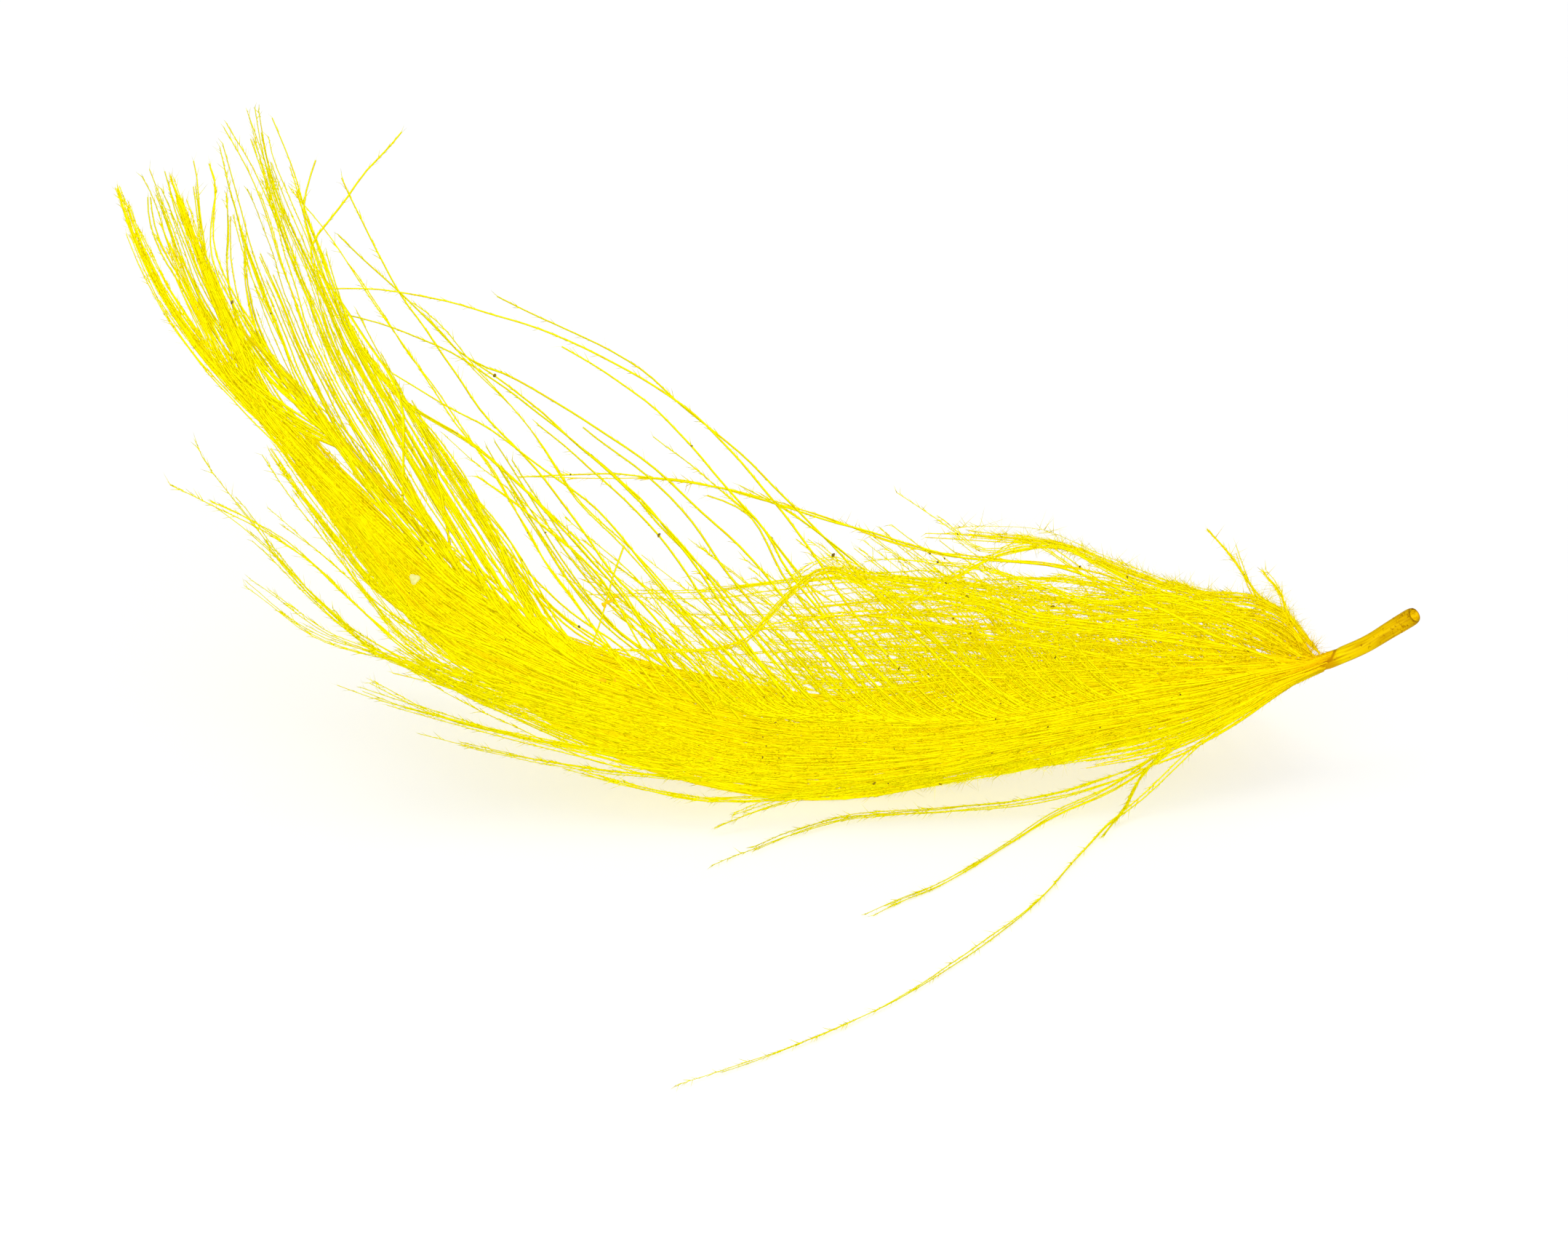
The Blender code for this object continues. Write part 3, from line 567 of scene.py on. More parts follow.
# Far vane
# The long barbs of the far side, soft dyed keratin like the band's, which stand up from it in a loose fan:
# each grows from the shaft, clears the band and bends up and back. Most cling in locks, and none is hooked on.
FAR_VANE = [
    # barbs, spread at the root, spread at the tip, points from root to tip
    (34, 0.5, 0.24, [(-9.0, 4.4), (-12.6, 6.6), (-15.2, 8.8), (-18.2, 12.0), (-19.7, 13.5), (-21.1, 15.0),
        (-22.4, 16.8), (-23.4, 18.8), (-24.05, 20.65)]),
    (38, 0.42, 0.16, [(-9.9, 4.9), (-13.4, 7.3), (-16.4, 10.1), (-18.6, 12.5), (-19.5, 13.9), (-20.1, 15.5),
        (-20.7, 16.9), (-21.2, 18.1), (-21.7, 19.5), (-22.2, 20.9)]),
    (8, 0.5, 0.2, [(-9.6, 5.8), (-13.2, 8.7), (-15.9, 11.5), (-17.7, 13.4), (-19.0, 15.0), (-19.9, 16.4),
        (-20.6, 17.8)]),
    (10, 0.45, 0.18, [(-10.6, 5.9), (-14.3, 8.7), (-17.2, 11.6), (-18.7, 13.4), (-19.6, 15.0), (-20.3, 16.5),
        (-20.9, 18.0)]),
    (14, 0.5, 0.24, [(-12.8, 7.2), (-16.0, 10.0), (-18.6, 12.5), (-20.2, 14.2), (-21.1, 15.9), (-21.9, 17.6),
        (-22.7, 19.4)]),
    (3, 0.2, 0.12, [(-19.4, 13.8), (-20.9, 15.5), (-21.7, 16.9), (-22.2, 17.8), (-22.6, 18.5), (-23.0, 19.4),
        (-23.15, 20.3)]),
    (3, 0.2, 0.08, [(-19.0, 13.4), (-20.6, 15.6), (-21.6, 17.4), (-22.2, 18.6), (-22.5, 19.5), (-22.9, 20.5),
        (-23.2, 21.0)]),
    (4, 0.2, 0.12, [(-18.5, 13.0), (-20.2, 15.4), (-21.3, 17.0), (-21.9, 18.5), (-22.3, 19.6), (-22.7, 20.6),
        (-22.95, 21.2)]),
    (2, 0.1, 0.08, [(-19.9, 15.4), (-21.2, 17.8), (-21.8, 19.2), (-22.2, 20.2), (-22.5, 21.2)]),
    (3, 0.15, 0.08, [(-18.9, 14.3), (-20.4, 16.7), (-21.1, 18.4), (-21.3, 19.6), (-21.45, 20.7),
        (-21.6, 21.5)]),
    (2, 0.1, 0.08, [(-19.0, 14.9), (-20.4, 17.0), (-20.9, 18.3), (-20.9, 19.4), (-20.75, 20.6),
        (-20.95, 21.3)]),
    (4, 0.08, 0.05, [(-17.9, 13.2), (-19.3, 15.1), (-20.1, 16.5), (-20.36, 17.6), (-20.44, 18.4),
        (-20.4, 19.2), (-20.46, 20.4)]),
    (4, 0.1, 0.08, [(-17.4, 12.7), (-18.8, 14.5), (-19.5, 16.0), (-19.8, 17.4), (-19.87, 18.4),
        (-19.8, 19.2)]),
    (5, 0.18, 0.1, [(-12.6, 7.2), (-13.8, 8.4), (-15.2, 10.0), (-16.3, 11.5), (-17.2, 12.9), (-17.9, 14.1),
        (-18.4, 15.3), (-18.9, 16.5), (-19.5, 18.0), (-20.0, 19.6), (-20.3, 20.7), (-20.6, 21.9)]),
    (4, 0.22, 0.14, [(-12.8, 7.6), (-14.2, 9.2), (-15.5, 10.9), (-16.6, 12.6), (-17.4, 14.1), (-18.1, 15.6),
        (-18.6, 16.9), (-19.3, 18.4)]),
    (3, 0.2, 0.06, [(-12.0, 6.6), (-13.2, 8.2), (-14.5, 10.0), (-15.6, 11.7), (-16.5, 13.2), (-17.2, 14.6),
        (-17.7, 15.6), (-18.1, 16.8), (-18.6, 18.2), (-19.0, 19.5), (-19.5, 20.8), (-20.1, 22.0),
        (-20.5, 22.7)]),
    (3, 0.15, 0.1, [(-11.8, 6.6), (-13.6, 9.0), (-15.2, 11.8), (-16.3, 13.6), (-17.2, 15.4), (-17.8, 16.9),
        (-18.4, 18.3), (-18.9, 19.8), (-19.4, 21.1), (-19.75, 22.2)]),
    (4, 0.22, 0.14, [(-12.1, 7.0), (-13.4, 8.9), (-14.7, 11.0), (-15.8, 13.1), (-16.6, 14.8), (-17.2, 16.4),
        (-17.6, 17.9)]),
    (3, 0.12, 0.05, [(-11.6, 6.4), (-12.8, 8.2), (-14.0, 10.0), (-15.1, 12.0), (-16.0, 13.7), (-16.8, 15.0),
        (-17.4, 16.4), (-17.9, 17.5), (-18.4, 18.9), (-18.9, 20.3), (-19.2, 21.5), (-19.7, 23.0)]),
    (4, 0.16, 0.08, [(-11.0, 6.1), (-12.3, 8.2), (-13.6, 10.3), (-14.7, 12.2), (-15.6, 13.9), (-16.4, 15.2),
        (-17.0, 16.6), (-17.7, 18.0), (-18.4, 19.4), (-18.9, 20.8), (-19.2, 22.0), (-19.4, 23.2)]),
    (2, 0.1, 0.08, [(-10.8, 6.2), (-12.6, 8.9), (-14.2, 11.6), (-15.5, 13.9), (-16.4, 15.6), (-17.1, 17.1),
        (-17.8, 18.9), (-18.35, 20.2), (-18.8, 21.3), (-19.1, 22.3)]),
    (4, 0.18, 0.06, [(-10.4, 5.9), (-11.9, 8.0), (-13.2, 10.0), (-14.3, 12.0), (-15.3, 13.8), (-16.0, 15.2),
        (-16.6, 16.5), (-17.2, 18.0), (-17.7, 19.3), (-18.2, 20.9), (-18.9, 22.8)]),
    (5, 0.14, 0.1, [(-10.2, 6.0), (-11.3, 7.6), (-12.4, 9.4), (-13.5, 11.2), (-14.6, 13.0), (-15.6, 14.6),
        (-16.4, 16.0), (-16.8, 17.2), (-17.2, 18.4)]),
    (3, 0.2, 0.15, [(-9.9, 6.0), (-11.1, 8.0), (-12.3, 9.8), (-13.3, 11.4), (-14.4, 13.2), (-15.4, 14.9),
        (-16.2, 16.4)]),
    (4, 0.12, 0.08, [(-9.2, 5.2), (-10.4, 6.9), (-11.2, 8.6), (-12.0, 10.0), (-12.7, 11.2), (-13.6, 12.5),
        (-14.5, 13.5), (-15.5, 14.8), (-16.2, 16.0)]),
    (3, 0.16, 0.12, [(-9.4, 6.0), (-10.9, 8.6), (-12.0, 10.0), (-13.0, 11.4), (-14.0, 12.9), (-15.0, 14.1),
        (-15.9, 15.3)]),
    (2, 0.06, 0.03, [(-7.3, 4.8), (-8.9, 6.9), (-9.8, 8.1), (-10.6, 9.5), (-10.9, 10.0), (-11.6, 11.3),
        (-12.6, 12.6), (-13.2, 13.5), (-14.5, 15.3), (-15.9, 17.3), (-17.3, 19.3), (-18.3, 20.6)]),
    (3, 0.1, 0.07, [(-5.4, 4.4), (-7.0, 6.8), (-8.0, 8.0), (-9.4, 9.5), (-10.5, 10.6), (-11.4, 11.4),
        (-12.3, 12.1), (-13.1, 12.6), (-14.0, 13.1), (-14.8, 13.8), (-15.6, 14.8), (-16.1, 15.7)]),
    (2, 0.12, 0.12, [(-6.0, 4.4), (-7.6, 7.0), (-8.5, 8.1), (-9.9, 9.3), (-11.0, 10.2), (-12.0, 10.9)]),
    (1, 0.0, 0.0, [(-4.6, 4.4), (-6.6, 6.7), (-7.5, 7.6), (-8.3, 8.8), (-9.3, 10.2), (-10.5, 11.7),
        (-11.7, 12.9), (-12.9, 14.5), (-14.0, 16.1), (-14.9, 17.4), (-15.9, 19.4), (-16.6, 21.0)]),
    (1, 0.0, 0.0, [(0.2, 4.2), (-2.5, 7.6), (-3.5, 8.8), (-4.6, 9.8), (-6.0, 11.1), (-7.2, 12.0),
        (-8.5, 12.8), (-9.9, 13.6), (-11.3, 14.4), (-12.4, 14.85), (-13.4, 15.8), (-14.7, 17.15),
        (-15.6, 18.0), (-16.7, 19.0)]),
    (2, 0.05, 0.04, [(-3.0, 4.0), (-4.2, 5.2), (-5.2, 6.4), (-6.0, 7.4), (-7.1, 8.6), (-8.6, 10.1),
        (-9.5, 11.5), (-10.2, 12.5), (-10.9, 13.3), (-11.9, 14.3), (-12.4, 14.85), (-13.3, 15.9),
        (-14.2, 16.6)]),
    (1, 0.0, 0.0, [(-2.0, 4.0), (-3.6, 6.1), (-4.6, 7.7), (-5.9, 9.4), (-7.0, 10.6), (-8.6, 12.0),
        (-10.1, 13.2), (-11.6, 14.3), (-12.3, 14.8)]),
    (1, 0.0, 0.0, [(-2.4, 4.4), (-4.3, 6.6), (-5.2, 8.0), (-6.7, 9.8), (-8.2, 11.2), (-9.2, 12.0),
        (-10.0, 12.6)]),
    (1, 0.0, 0.0, [(-1.0, 4.5), (-2.7, 6.6), (-3.8, 8.0), (-5.0, 9.7), (-6.6, 11.2), (-7.5, 11.8),
        (-8.5, 12.6)]),
    (1, 0.0, 0.0, [(-1.6, 4.5), (-3.2, 6.4), (-4.5, 7.9), (-5.8, 9.2), (-7.5, 11.0), (-8.6, 12.0)]),
    (1, 0.0, 0.0, [(-1.2, 4.0), (-3.4, 6.6), (-5.0, 8.5), (-6.4, 9.9), (-8.4, 11.9), (-10.2, 13.4),
        (-11.6, 14.4), (-12.6, 15.0), (-13.5, 15.4), (-14.5, 15.75), (-15.3, 16.05), (-16.4, 16.35)]),
    (1, 0.0, 0.0, [(-3.0, 4.4), (-4.9, 6.4), (-6.4, 8.0), (-8.2, 10.1), (-10.2, 11.5), (-11.8, 12.7),
        (-13.2, 13.5), (-14.8, 14.4)]),
    (1, 0.0, 0.0, [(3.6, 4.6), (1.9, 6.4), (0.9, 7.5), (0.1, 8.4), (-1.2, 9.8), (-2.4, 10.95), (-3.6, 12.0),
        (-4.9, 13.1), (-6.3, 14.35), (-7.6, 15.2), (-9.0, 15.95), (-10.3, 16.5), (-11.4, 17.0)]),
    (1, 0.0, 0.0, [(2.2, 4.4), (0.8, 6.1), (0.2, 6.9), (-0.7, 8.2), (-1.7, 9.6), (-2.8, 11.0), (-3.9, 12.2),
        (-4.9, 13.15), (-6.3, 14.1), (-8.2, 15.1), (-10.0, 15.9), (-11.8, 16.45), (-12.8, 16.75),
        (-14.0, 17.0), (-15.4, 17.2), (-16.9, 17.2)]),
    (1, 0.0, 0.0, [(1.2, 4.2), (-0.3, 6.2), (-0.9, 7.0), (-1.8, 8.2), (-2.4, 9.3), (-2.9, 9.7), (-3.8, 10.8),
        (-5.0, 12.2), (-6.5, 13.6), (-8.0, 14.7), (-9.1, 15.3)]),
    (2, 0.1, 0.05, [(1.4, 4.4), (-0.3, 6.4), (-1.6, 8.2), (-2.7, 9.6), (-3.6, 10.3), (-4.9, 11.4),
        (-6.2, 12.3)]),
    (1, 0.0, 0.0, [(0.4, 5.0), (-1.4, 7.4), (-2.1, 8.6), (-2.7, 9.5), (-3.5, 10.0), (-4.3, 10.3)]),
    (2, 0.2, 0.2, [(4.8, 4.2), (2.9, 5.9), (1.2, 7.5), (-0.3, 8.8), (-1.8, 9.9), (-3.2, 10.7)]),
    (1, 0.0, 0.0, [(12.0, 6.0), (9.0, 7.5), (7.0, 8.0), (5.0, 8.2), (3.0, 8.55), (0.0, 9.5), (-2.2, 10.15),
        (-4.5, 10.75), (-7.5, 11.05), (-10.5, 11.0)]),
    (1, 0.0, 0.0, [(-14.6, 13.2), (-15.9, 15.3), (-17.1, 17.2), (-17.7, 18.1), (-17.88, 18.42),
        (-17.6, 18.75), (-16.9, 19.6), (-15.8, 21.05), (-14.6, 22.4)]),
    (1, 0.0, 0.0, [(-13.6, 12.0), (-15.6, 14.9), (-16.9, 17.0), (-17.5, 18.6), (-17.75, 20.0),
        (-17.4, 21.5)]),
    (5, 0.8, 0.45, [(-7.0, 4.6), (-9.4, 6.3), (-11.3, 8.4), (-12.9, 10.8), (-14.4, 13.2), (-15.6, 15.4)]),
    (6, 0.6, 0.4, [(-5.2, 4.4), (-7.2, 5.9), (-8.8, 7.7), (-10.2, 9.8), (-11.6, 12.0)]),
]
# The tips stand off the plane by a depth that swings from lock to lock, less in locks of more barbs than this
FAR_DEPTH = 2.4
FAR_DEPTH_TURN = 2.1
FAR_BACK = 0.7
BIG_LOCK = 12
BIG_LOCK_DEPTH = 0.35
# How far down the stem a barb's root lies, how far its foot arches over the band, and how thick a lock is
ROOT_SHIFT = (1.8, 3.4)
FRONT_LIFT = 1.2
LOCK_DEPTH = 0.4


def root_on_stem(spot, shift):
    """The place on the stem where a barb grows that leaves the band at a spot, some way up the feather."""
    nearest = int(np.argmin(np.linalg.norm(stem_path[:, :2] - spot[:2], axis=1)))
    first = round((BARE_QUILL + 0.15) / STEM_STEP)
    return stem_path[max(first, nearest - round(shift / STEM_STEP))]


def bundle(points, count, root_spread, tip_spread, rng, **nature):
    """Barbs that cling together along the same guide points, ending at slightly different lengths."""
    guide = smooth_path(points, 0.8)
    _, side, front = across(guide)
    share = np.linspace(0.0, 1.0, len(guide))
    for number in range(count):
        lane, layer = np.clip(rng.normal(0.0, 0.55, 2), -1.1, 1.1)
        spread = (root_spread + (tip_spread - root_spread) * share) * np.clip(0.1 + share / 0.2, 0.0, 1.0)
        path = guide + spread[:, None] * (lane * side + LOCK_DEPTH * layer * front)
        kept = len(path) if number == 0 else max(5, round(len(path) * rng.uniform(0.84, 1.0)))
        yield barb(path[:kept], rng, **nature)


rng = np.random.default_rng(77)
far_barbs = []
far_guides = []
for index, (count, root_spread, tip_spread, points) in enumerate(FAR_VANE):
    big = count > BIG_LOCK
    reach = (FAR_DEPTH * math.sin(FAR_DEPTH_TURN * index) - FAR_BACK) * (BIG_LOCK_DEPTH if big else 1.0)
    run = run_along(np.array(points))
    lift = rng.uniform(0.2, 1.0) * FRONT_LIFT
    placed = [(u, v, reach * share ** 1.5 + lift * (1.0 - share) ** 3)
              for (u, v), share in zip(points, run / run[-1])]
    root = root_on_stem(np.array(placed[0]), rng.uniform(*ROOT_SHIFT))
    far_guides.append(np.array([root] + placed))
    # Big locks get a higher, more golden tip tone than lone barbs: painted bounce light among massed barbs.
    far_barbs += bundle(far_guides[-1], count, root_spread, tip_spread, rng, bend=0.045, tip=0.6,
                        tone=(0.5, rng.uniform(0.0, 0.2) + (0.38 if big else 0.1)),
                        radius=rng.uniform(0.034, 0.044) if count > 1 else rng.uniform(0.05, 0.06))
grow_barbs("far_vane", far_barbs, seed=11, spacing=0.13)

# Loose barbs
# Single barbs of the same keratin: those that strayed from the fan's locks and run between two of them, and
# short ones that leave the band's front all along its upper edge. Like the rest they grow from the shaft.
# Locks of the fan that lie side by side, by their places in its table
FAN_LOCKS = (0, 1, 2, 12, 13, 14, 15, 16, 17, 18, 19, 21, 22, 23, 24, 25, 27, 28)
FAN_BARBS = 34
SHORT_BARBS = 130
# The edge of the band that the short barbs cross
SHORT_EDGE = [(-7.0, 4.2), (-3.0, 3.6), (2.0, 3.4), (9.0, 4.2)]
SHORT_SHIFT = 4.6


def midway(one, other, share):
    """Guide points part of the way from one lock's to another's."""
    runs = [run_along(points) for points in (one, other)]
    even = [sampled(points, run, np.linspace(0.0, run[-1], 12)) for points, run in zip((one, other), runs)]
    return even[0] * (1.0 - share) + even[1] * share


loose_barbs = []
for number in range(FAN_BARBS):
    place = int(rng.integers(len(FAN_LOCKS) - 1))
    points = midway(far_guides[FAN_LOCKS[place]], far_guides[FAN_LOCKS[place + 1]], rng.uniform(0.1, 0.9))
    kept = int(rng.integers(8, 13))
    loose_barbs.append(barb(points[:kept], rng, bend=0.06, tone=(0.5, rng.uniform(0.05, 0.25)),
                            radius=rng.uniform(0.026, 0.036)))
for number in range(SHORT_BARBS):
    u = rng.uniform(-4.5, 9.0)
    v = np.interp(u, *zip(*SHORT_EDGE))
    rise = rng.uniform(1.4, 4.8)
    steep = rng.uniform(0.85, 1.25)
    w = rng.uniform(-1.6, 1.2)
    # Up the band's front from the stem, over its upper edge, and out into the open
    points = [tuple(root_on_stem(np.array((u, v)), SHORT_SHIFT)), (u + 3.6, v - 0.7, 0.8 * FRONT_LIFT),
              (u + 1.8, v - 0.8, 0.9 * FRONT_LIFT), (u + 0.5, v - 0.35, 0.8 * FRONT_LIFT),
              (u - 0.5, v + 0.5, 0.5 * FRONT_LIFT + 0.2 * w),
              (u - rise * 0.6, v + rise * 0.6 * steep, 0.7 * w), (u - rise * 1.15, v + rise * steep, w)]
    loose_barbs.append(barb(points, rng, tone=(rng.uniform(0.45, 0.6), 0.25), fluff=0.26, lean=0.3,
                            radius=rng.uniform(0.028, 0.038)))
grow_barbs("loose_barbs", loose_barbs, seed=13)

# Base tuft
# The downy barbs nearest the quill, of the same keratin: short, soft and tangled, with longer barbules that
# stand off as fuzz. They grow from the shaft just past the quill, where the dye is strongest.
TUFT_BARBS = 270
# The tuft's lower and upper outline, between which its loose barbs are spread
TUFT_FLOOR = [
    (16.6, 5.0), (15.0, 4.7), (12.0, 4.3), (8.0, 3.9), (4.0, 3.9), (0.0, 3.8), (-4.0, 4.2), (-9.0, 5.4),
]
TUFT_TOP = [
    (16.6, 5.1), (15.7, 5.6), (15.0, 6.3), (14.0, 6.85), (12.5, 6.95), (11.2, 7.1), (10.0, 7.25), (8.1, 7.5),
    (6.5, 7.5), (4.0, 7.5), (1.0, 7.6), (-1.5, 7.4), (-4.0, 7.2), (-9.0, 7.0),
]
TUFT_LOCKS = [
    # barbs, spread at the tip, points from root to tip
    (7, 0.1, [(16.2, 5.0, 0.0), (15.2, 6.2, -0.2), (14.0, 6.9, -0.3), (12.5, 7.0, -0.5), (11.2, 7.3, -0.6),
        (10.0, 7.7, -0.7), (9.0, 8.1, -0.8), (8.1, 8.5, -0.8), (7.0, 8.8, -0.9), (5.3, 8.95, -0.9),
        (4.0, 9.05, -1.0), (3.0, 9.1, -1.0)]),
    (5, 0.08, [(15.6, 5.0, 0.1), (13.4, 6.2, 0.3), (11.0, 7.0, 0.5), (10.0, 7.4, 0.6), (9.0, 7.9, 0.8),
        (7.8, 8.5, 0.9), (6.9, 8.6, 1.0), (5.3, 8.3, 1.2), (4.0, 7.6, 1.3), (2.6, 6.9, 1.4), (1.5, 6.1, 1.2),
        (0.5, 5.8, 1.1)]),
    (3, 0.05, [(13.6, 4.4, 0.1), (10.0, 6.6, 0.3), (8.5, 7.5, 0.4), (7.0, 8.5, 0.5), (6.5, 8.75, 0.5),
        (5.0, 8.4, 0.5), (4.2, 8.9, 0.5), (3.2, 9.6, 0.4), (2.0, 10.4, 0.3)]),
    (4, 0.08, [(15.5, 4.9, 0.2), (13.0, 6.2, 0.7), (11.0, 6.9, 0.9), (9.8, 6.8, 1.0), (8.5, 6.7, 1.1),
        (7.0, 7.2, 1.1), (5.0, 7.8, 1.0), (3.4, 8.0, 0.9), (2.0, 8.2, 0.8), (1.0, 8.1, 0.8)]),
    (14, 0.22, [(15.2, 4.8, 0.1), (11.0, 5.6, 0.6), (8.0, 6.0, 0.9), (6.5, 6.2, 1.0), (5.0, 6.7, 1.1),
        (3.0, 7.15, 1.1), (1.0, 7.5, 1.0), (0.2, 8.0, 0.9), (-0.6, 7.9, 0.9), (-1.5, 7.2, 0.7)]),
    (6, 0.12, [(4.4, 4.4, 0.4), (2.0, 6.6, 0.7), (0.4, 7.7, 0.9), (-0.5, 7.8, 0.9), (-1.3, 7.3, 0.8),
        (-2.2, 6.4, 0.9), (-3.0, 5.5, 0.9), (-4.4, 5.15, 1.0), (-6.4, 5.15, 1.1), (-8.5, 5.25, 1.2)]),
    (5, 0.12, [(15.3, 5.0, -0.2), (10.5, 6.2, -1.2), (5.6, 7.2, -1.6), (1.4, 7.6, -1.6), (-1.0, 7.55, -1.6),
        (-2.5, 7.4, -1.5), (-4.2, 7.2, -1.4), (-6.5, 7.15, -1.2), (-8.4, 7.1, -1.0)]),
    (3, 0.12, [(12.3, 4.3, 0.2), (6.0, 5.6, 0.9), (1.0, 6.4, 0.8), (-3.0, 6.0, 0.7), (-5.5, 6.2, 0.6)]),
    (2, 0.1, [(15.0, 5.0, -0.4), (9.0, 7.7, -2.2), (3.2, 8.5, -3.2), (-1.1, 9.9, -3.6), (-5.4, 10.9, -3.8),
        (-10.5, 11.0, -4.0)]),
    (3, 0.05, [(15.6, 5.0, 0.1), (15.0, 6.4, 0.3), (14.5, 6.6, 0.4), (14.0, 7.1, 0.5), (13.6, 7.7, 0.6),
        (13.1, 8.4, 0.7), (12.4, 9.2, 0.8)]),
    (3, 0.04, [(15.7, 5.1, 0.0), (14.3, 6.4, -0.2), (13.9, 7.3, -0.4), (13.5, 8.2, -0.6), (13.4, 8.6, -0.7)]),
    (16, 0.34, [(15.9, 4.9, 0.0), (15.2, 5.9, 0.2), (14.2, 6.4, 0.3), (12.4, 6.6, 0.5), (10.4, 6.9, 0.7)]),
    (14, 0.3, [(15.6, 4.9, 0.2), (13.9, 5.9, 0.3), (12.0, 6.1, 0.5), (10.0, 6.0, 0.7), (8.0, 5.8, 0.8),
        (5.5, 5.5, 0.8)]),
    (16, 0.34, [(15.8, 4.9, 0.0), (14.9, 5.7, -0.3), (13.2, 6.3, -0.6), (11.0, 6.6, -0.9), (8.4, 7.0, -1.2)]),
    (6, 0.06, [(16.1, 5.1, 0.0), (15.6, 5.6, 0.2), (15.0, 6.4, 0.4), (14.8, 7.1, 0.5), (14.3, 7.7, 0.6)]),
]

rng = np.random.default_rng(5)
tuft_barbs = []
# The tuft's tips keep a higher tone than lone barbs elsewhere: painted bounce light among its massed barbs,
# besides the dye's gold near the quill.
for count, spread, points in TUFT_LOCKS:
    tuft_barbs += bundle(points, count, 0.1, spread * 1.6, rng, tone=(0.5, rng.uniform(0.35, 0.5)),
                         fluff=0.34, lean=0.55, radius=rng.uniform(0.028, 0.036), step=0.5)
for number in range(TUFT_BARBS):
    root_u = 16.1 - 10.5 * rng.uniform(0.0, 1.0) ** 1.3
    level = rng.uniform(0.02, 1.0) ** 1.6
    length = rng.uniform(4.0, 11.0)
    u = np.linspace(root_u, root_u - length, max(4, round(length / 1.2)))
    grown = np.clip((root_u - u) / rng.uniform(1.0, 3.5), 0.0, 1.0)
    drift = rng.normal(0.0, 0.15)
    levels = np.clip((level + drift * (root_u - u) / length) * grown ** 0.8, 0.0, 1.0)
    low, high = [np.interp(-u, *np.array(line).T * [[-1.0], [1.0]]) for line in (TUFT_FLOOR, TUFT_TOP)]
    depth = rng.uniform(-1.3, 1.0) * grown * np.linspace(0.2, 1.0, len(u))
    points = np.column_stack([u, low + levels * (high - low), depth])
    points[0] = root_on_stem(points[0], 0.6)
    tuft_barbs.append(barb(points, rng, bend=0.08, tone=(0.55, rng.uniform(0.3, 0.5)), fluff=0.34, lean=0.5,
                           radius=rng.uniform(0.026, 0.036), step=0.6))
grow_barbs("base_tuft", tuft_barbs, seed=23, spacing=0.13, thickness=0.008)

# Root collar
# The first barbs of both vanes, which grow close round the shaft just past the scar and hide it: the dye is
# deepest in the keratin here, so they read as golden streaks that run on from the quill.
COLLAR_BARBS = 120

rng = np.random.default_rng(29)
collar_barbs = []
stem_run = run_along(stem_path)
_, stem_side, stem_front = across(stem_path)
for number in range(COLLAR_BARBS):
    turn = rng.uniform(-0.35, math.pi + 0.35)
    start = BARE_QUILL + 0.06 - SCAR_SLOPE * math.cos(turn) + rng.uniform(0.0, 1.0) ** 2.0 * 2.4
    run = start + np.linspace(0.0, rng.uniform(3.0, 8.0), 7)
    opening = np.clip((run - start) / 2.5, 0.0, 1.0)
    off = STEM_RADIUS * (0.9 + 0.22 * opening ** 0.3)
    off += rng.uniform(0.0, 1.3) * np.clip((run - 4.4) / 5.0, 0.0, 1.0)
    outward = (math.cos(turn) * sampled(stem_side, stem_run, run)
               + math.sin(turn) * sampled(stem_front, stem_run, run))
    points = sampled(stem_path, stem_run, run) + off[:, None] * outward
    collar_barbs.append(barb(points, rng, bend=0.02, tone=(rng.uniform(0.5, 0.8), 0.45), fluff=0.2, lean=0.3,
                             radius=rng.uniform(0.03, 0.042), step=0.5))
grow_barbs("root_collar", collar_barbs, seed=67, spacing=0.16, thickness=0.009)

# Base fuzz
# The loose barbules of the outermost barbs, hair-fine keratin that stands off them as a faint haze half a
# millimetre deep. They grow from very thin barbs that run along with the tuft's top and the vane's lower edge.
FUZZ_LINES = [
    # barbs, spread, points from root to tip
    (5, 0.16, [(16.0, 5.2, 0.0), (15.2, 6.3, -0.2), (14.0, 6.9, -0.3), (12.5, 7.1, -0.5), (11.2, 7.4, -0.6)]),
    (5, 0.16, [(12.6, 7.0, -0.5), (11.2, 7.4, -0.6), (10.0, 7.8, -0.7), (8.1, 8.5, -0.8), (7.0, 8.85, -0.9),
        (5.3, 9.0, -0.9), (4.0, 9.1, -1.0)]),
    (3, 0.1, [(16.1, 5.1, 0.0), (15.6, 5.7, 0.2), (15.1, 6.4, 0.4), (14.8, 7.1, 0.5), (14.4, 7.6, 0.6)]),
    (2, 0.08, [(15.0, 6.4, 0.3), (14.5, 6.6, 0.4), (14.0, 7.1, 0.5), (13.6, 7.7, 0.6), (13.2, 8.3, 0.7)]),
    (4, 0.3, [(15.0, 4.1, 0.3), (13.4, 3.5, 0.6), (11.0, 2.5, 0.9), (8.0, 1.7, 1.2), (4.0, 0.9, 1.5),
        (0.0, 0.4, 1.5)]),
]

rng = np.random.default_rng(71)
fuzz_barbs = []
for count, spread, points in FUZZ_LINES:
    fuzz_barbs += bundle(points, count, spread, spread, rng, bend=0.06, tone=(0.45, 0.4), fluff=0.42,
                         lean=0.85, radius=0.014, step=0.5)
grow_barbs("base_fuzz", fuzz_barbs, seed=73, spacing=0.045, thickness=0.0055)

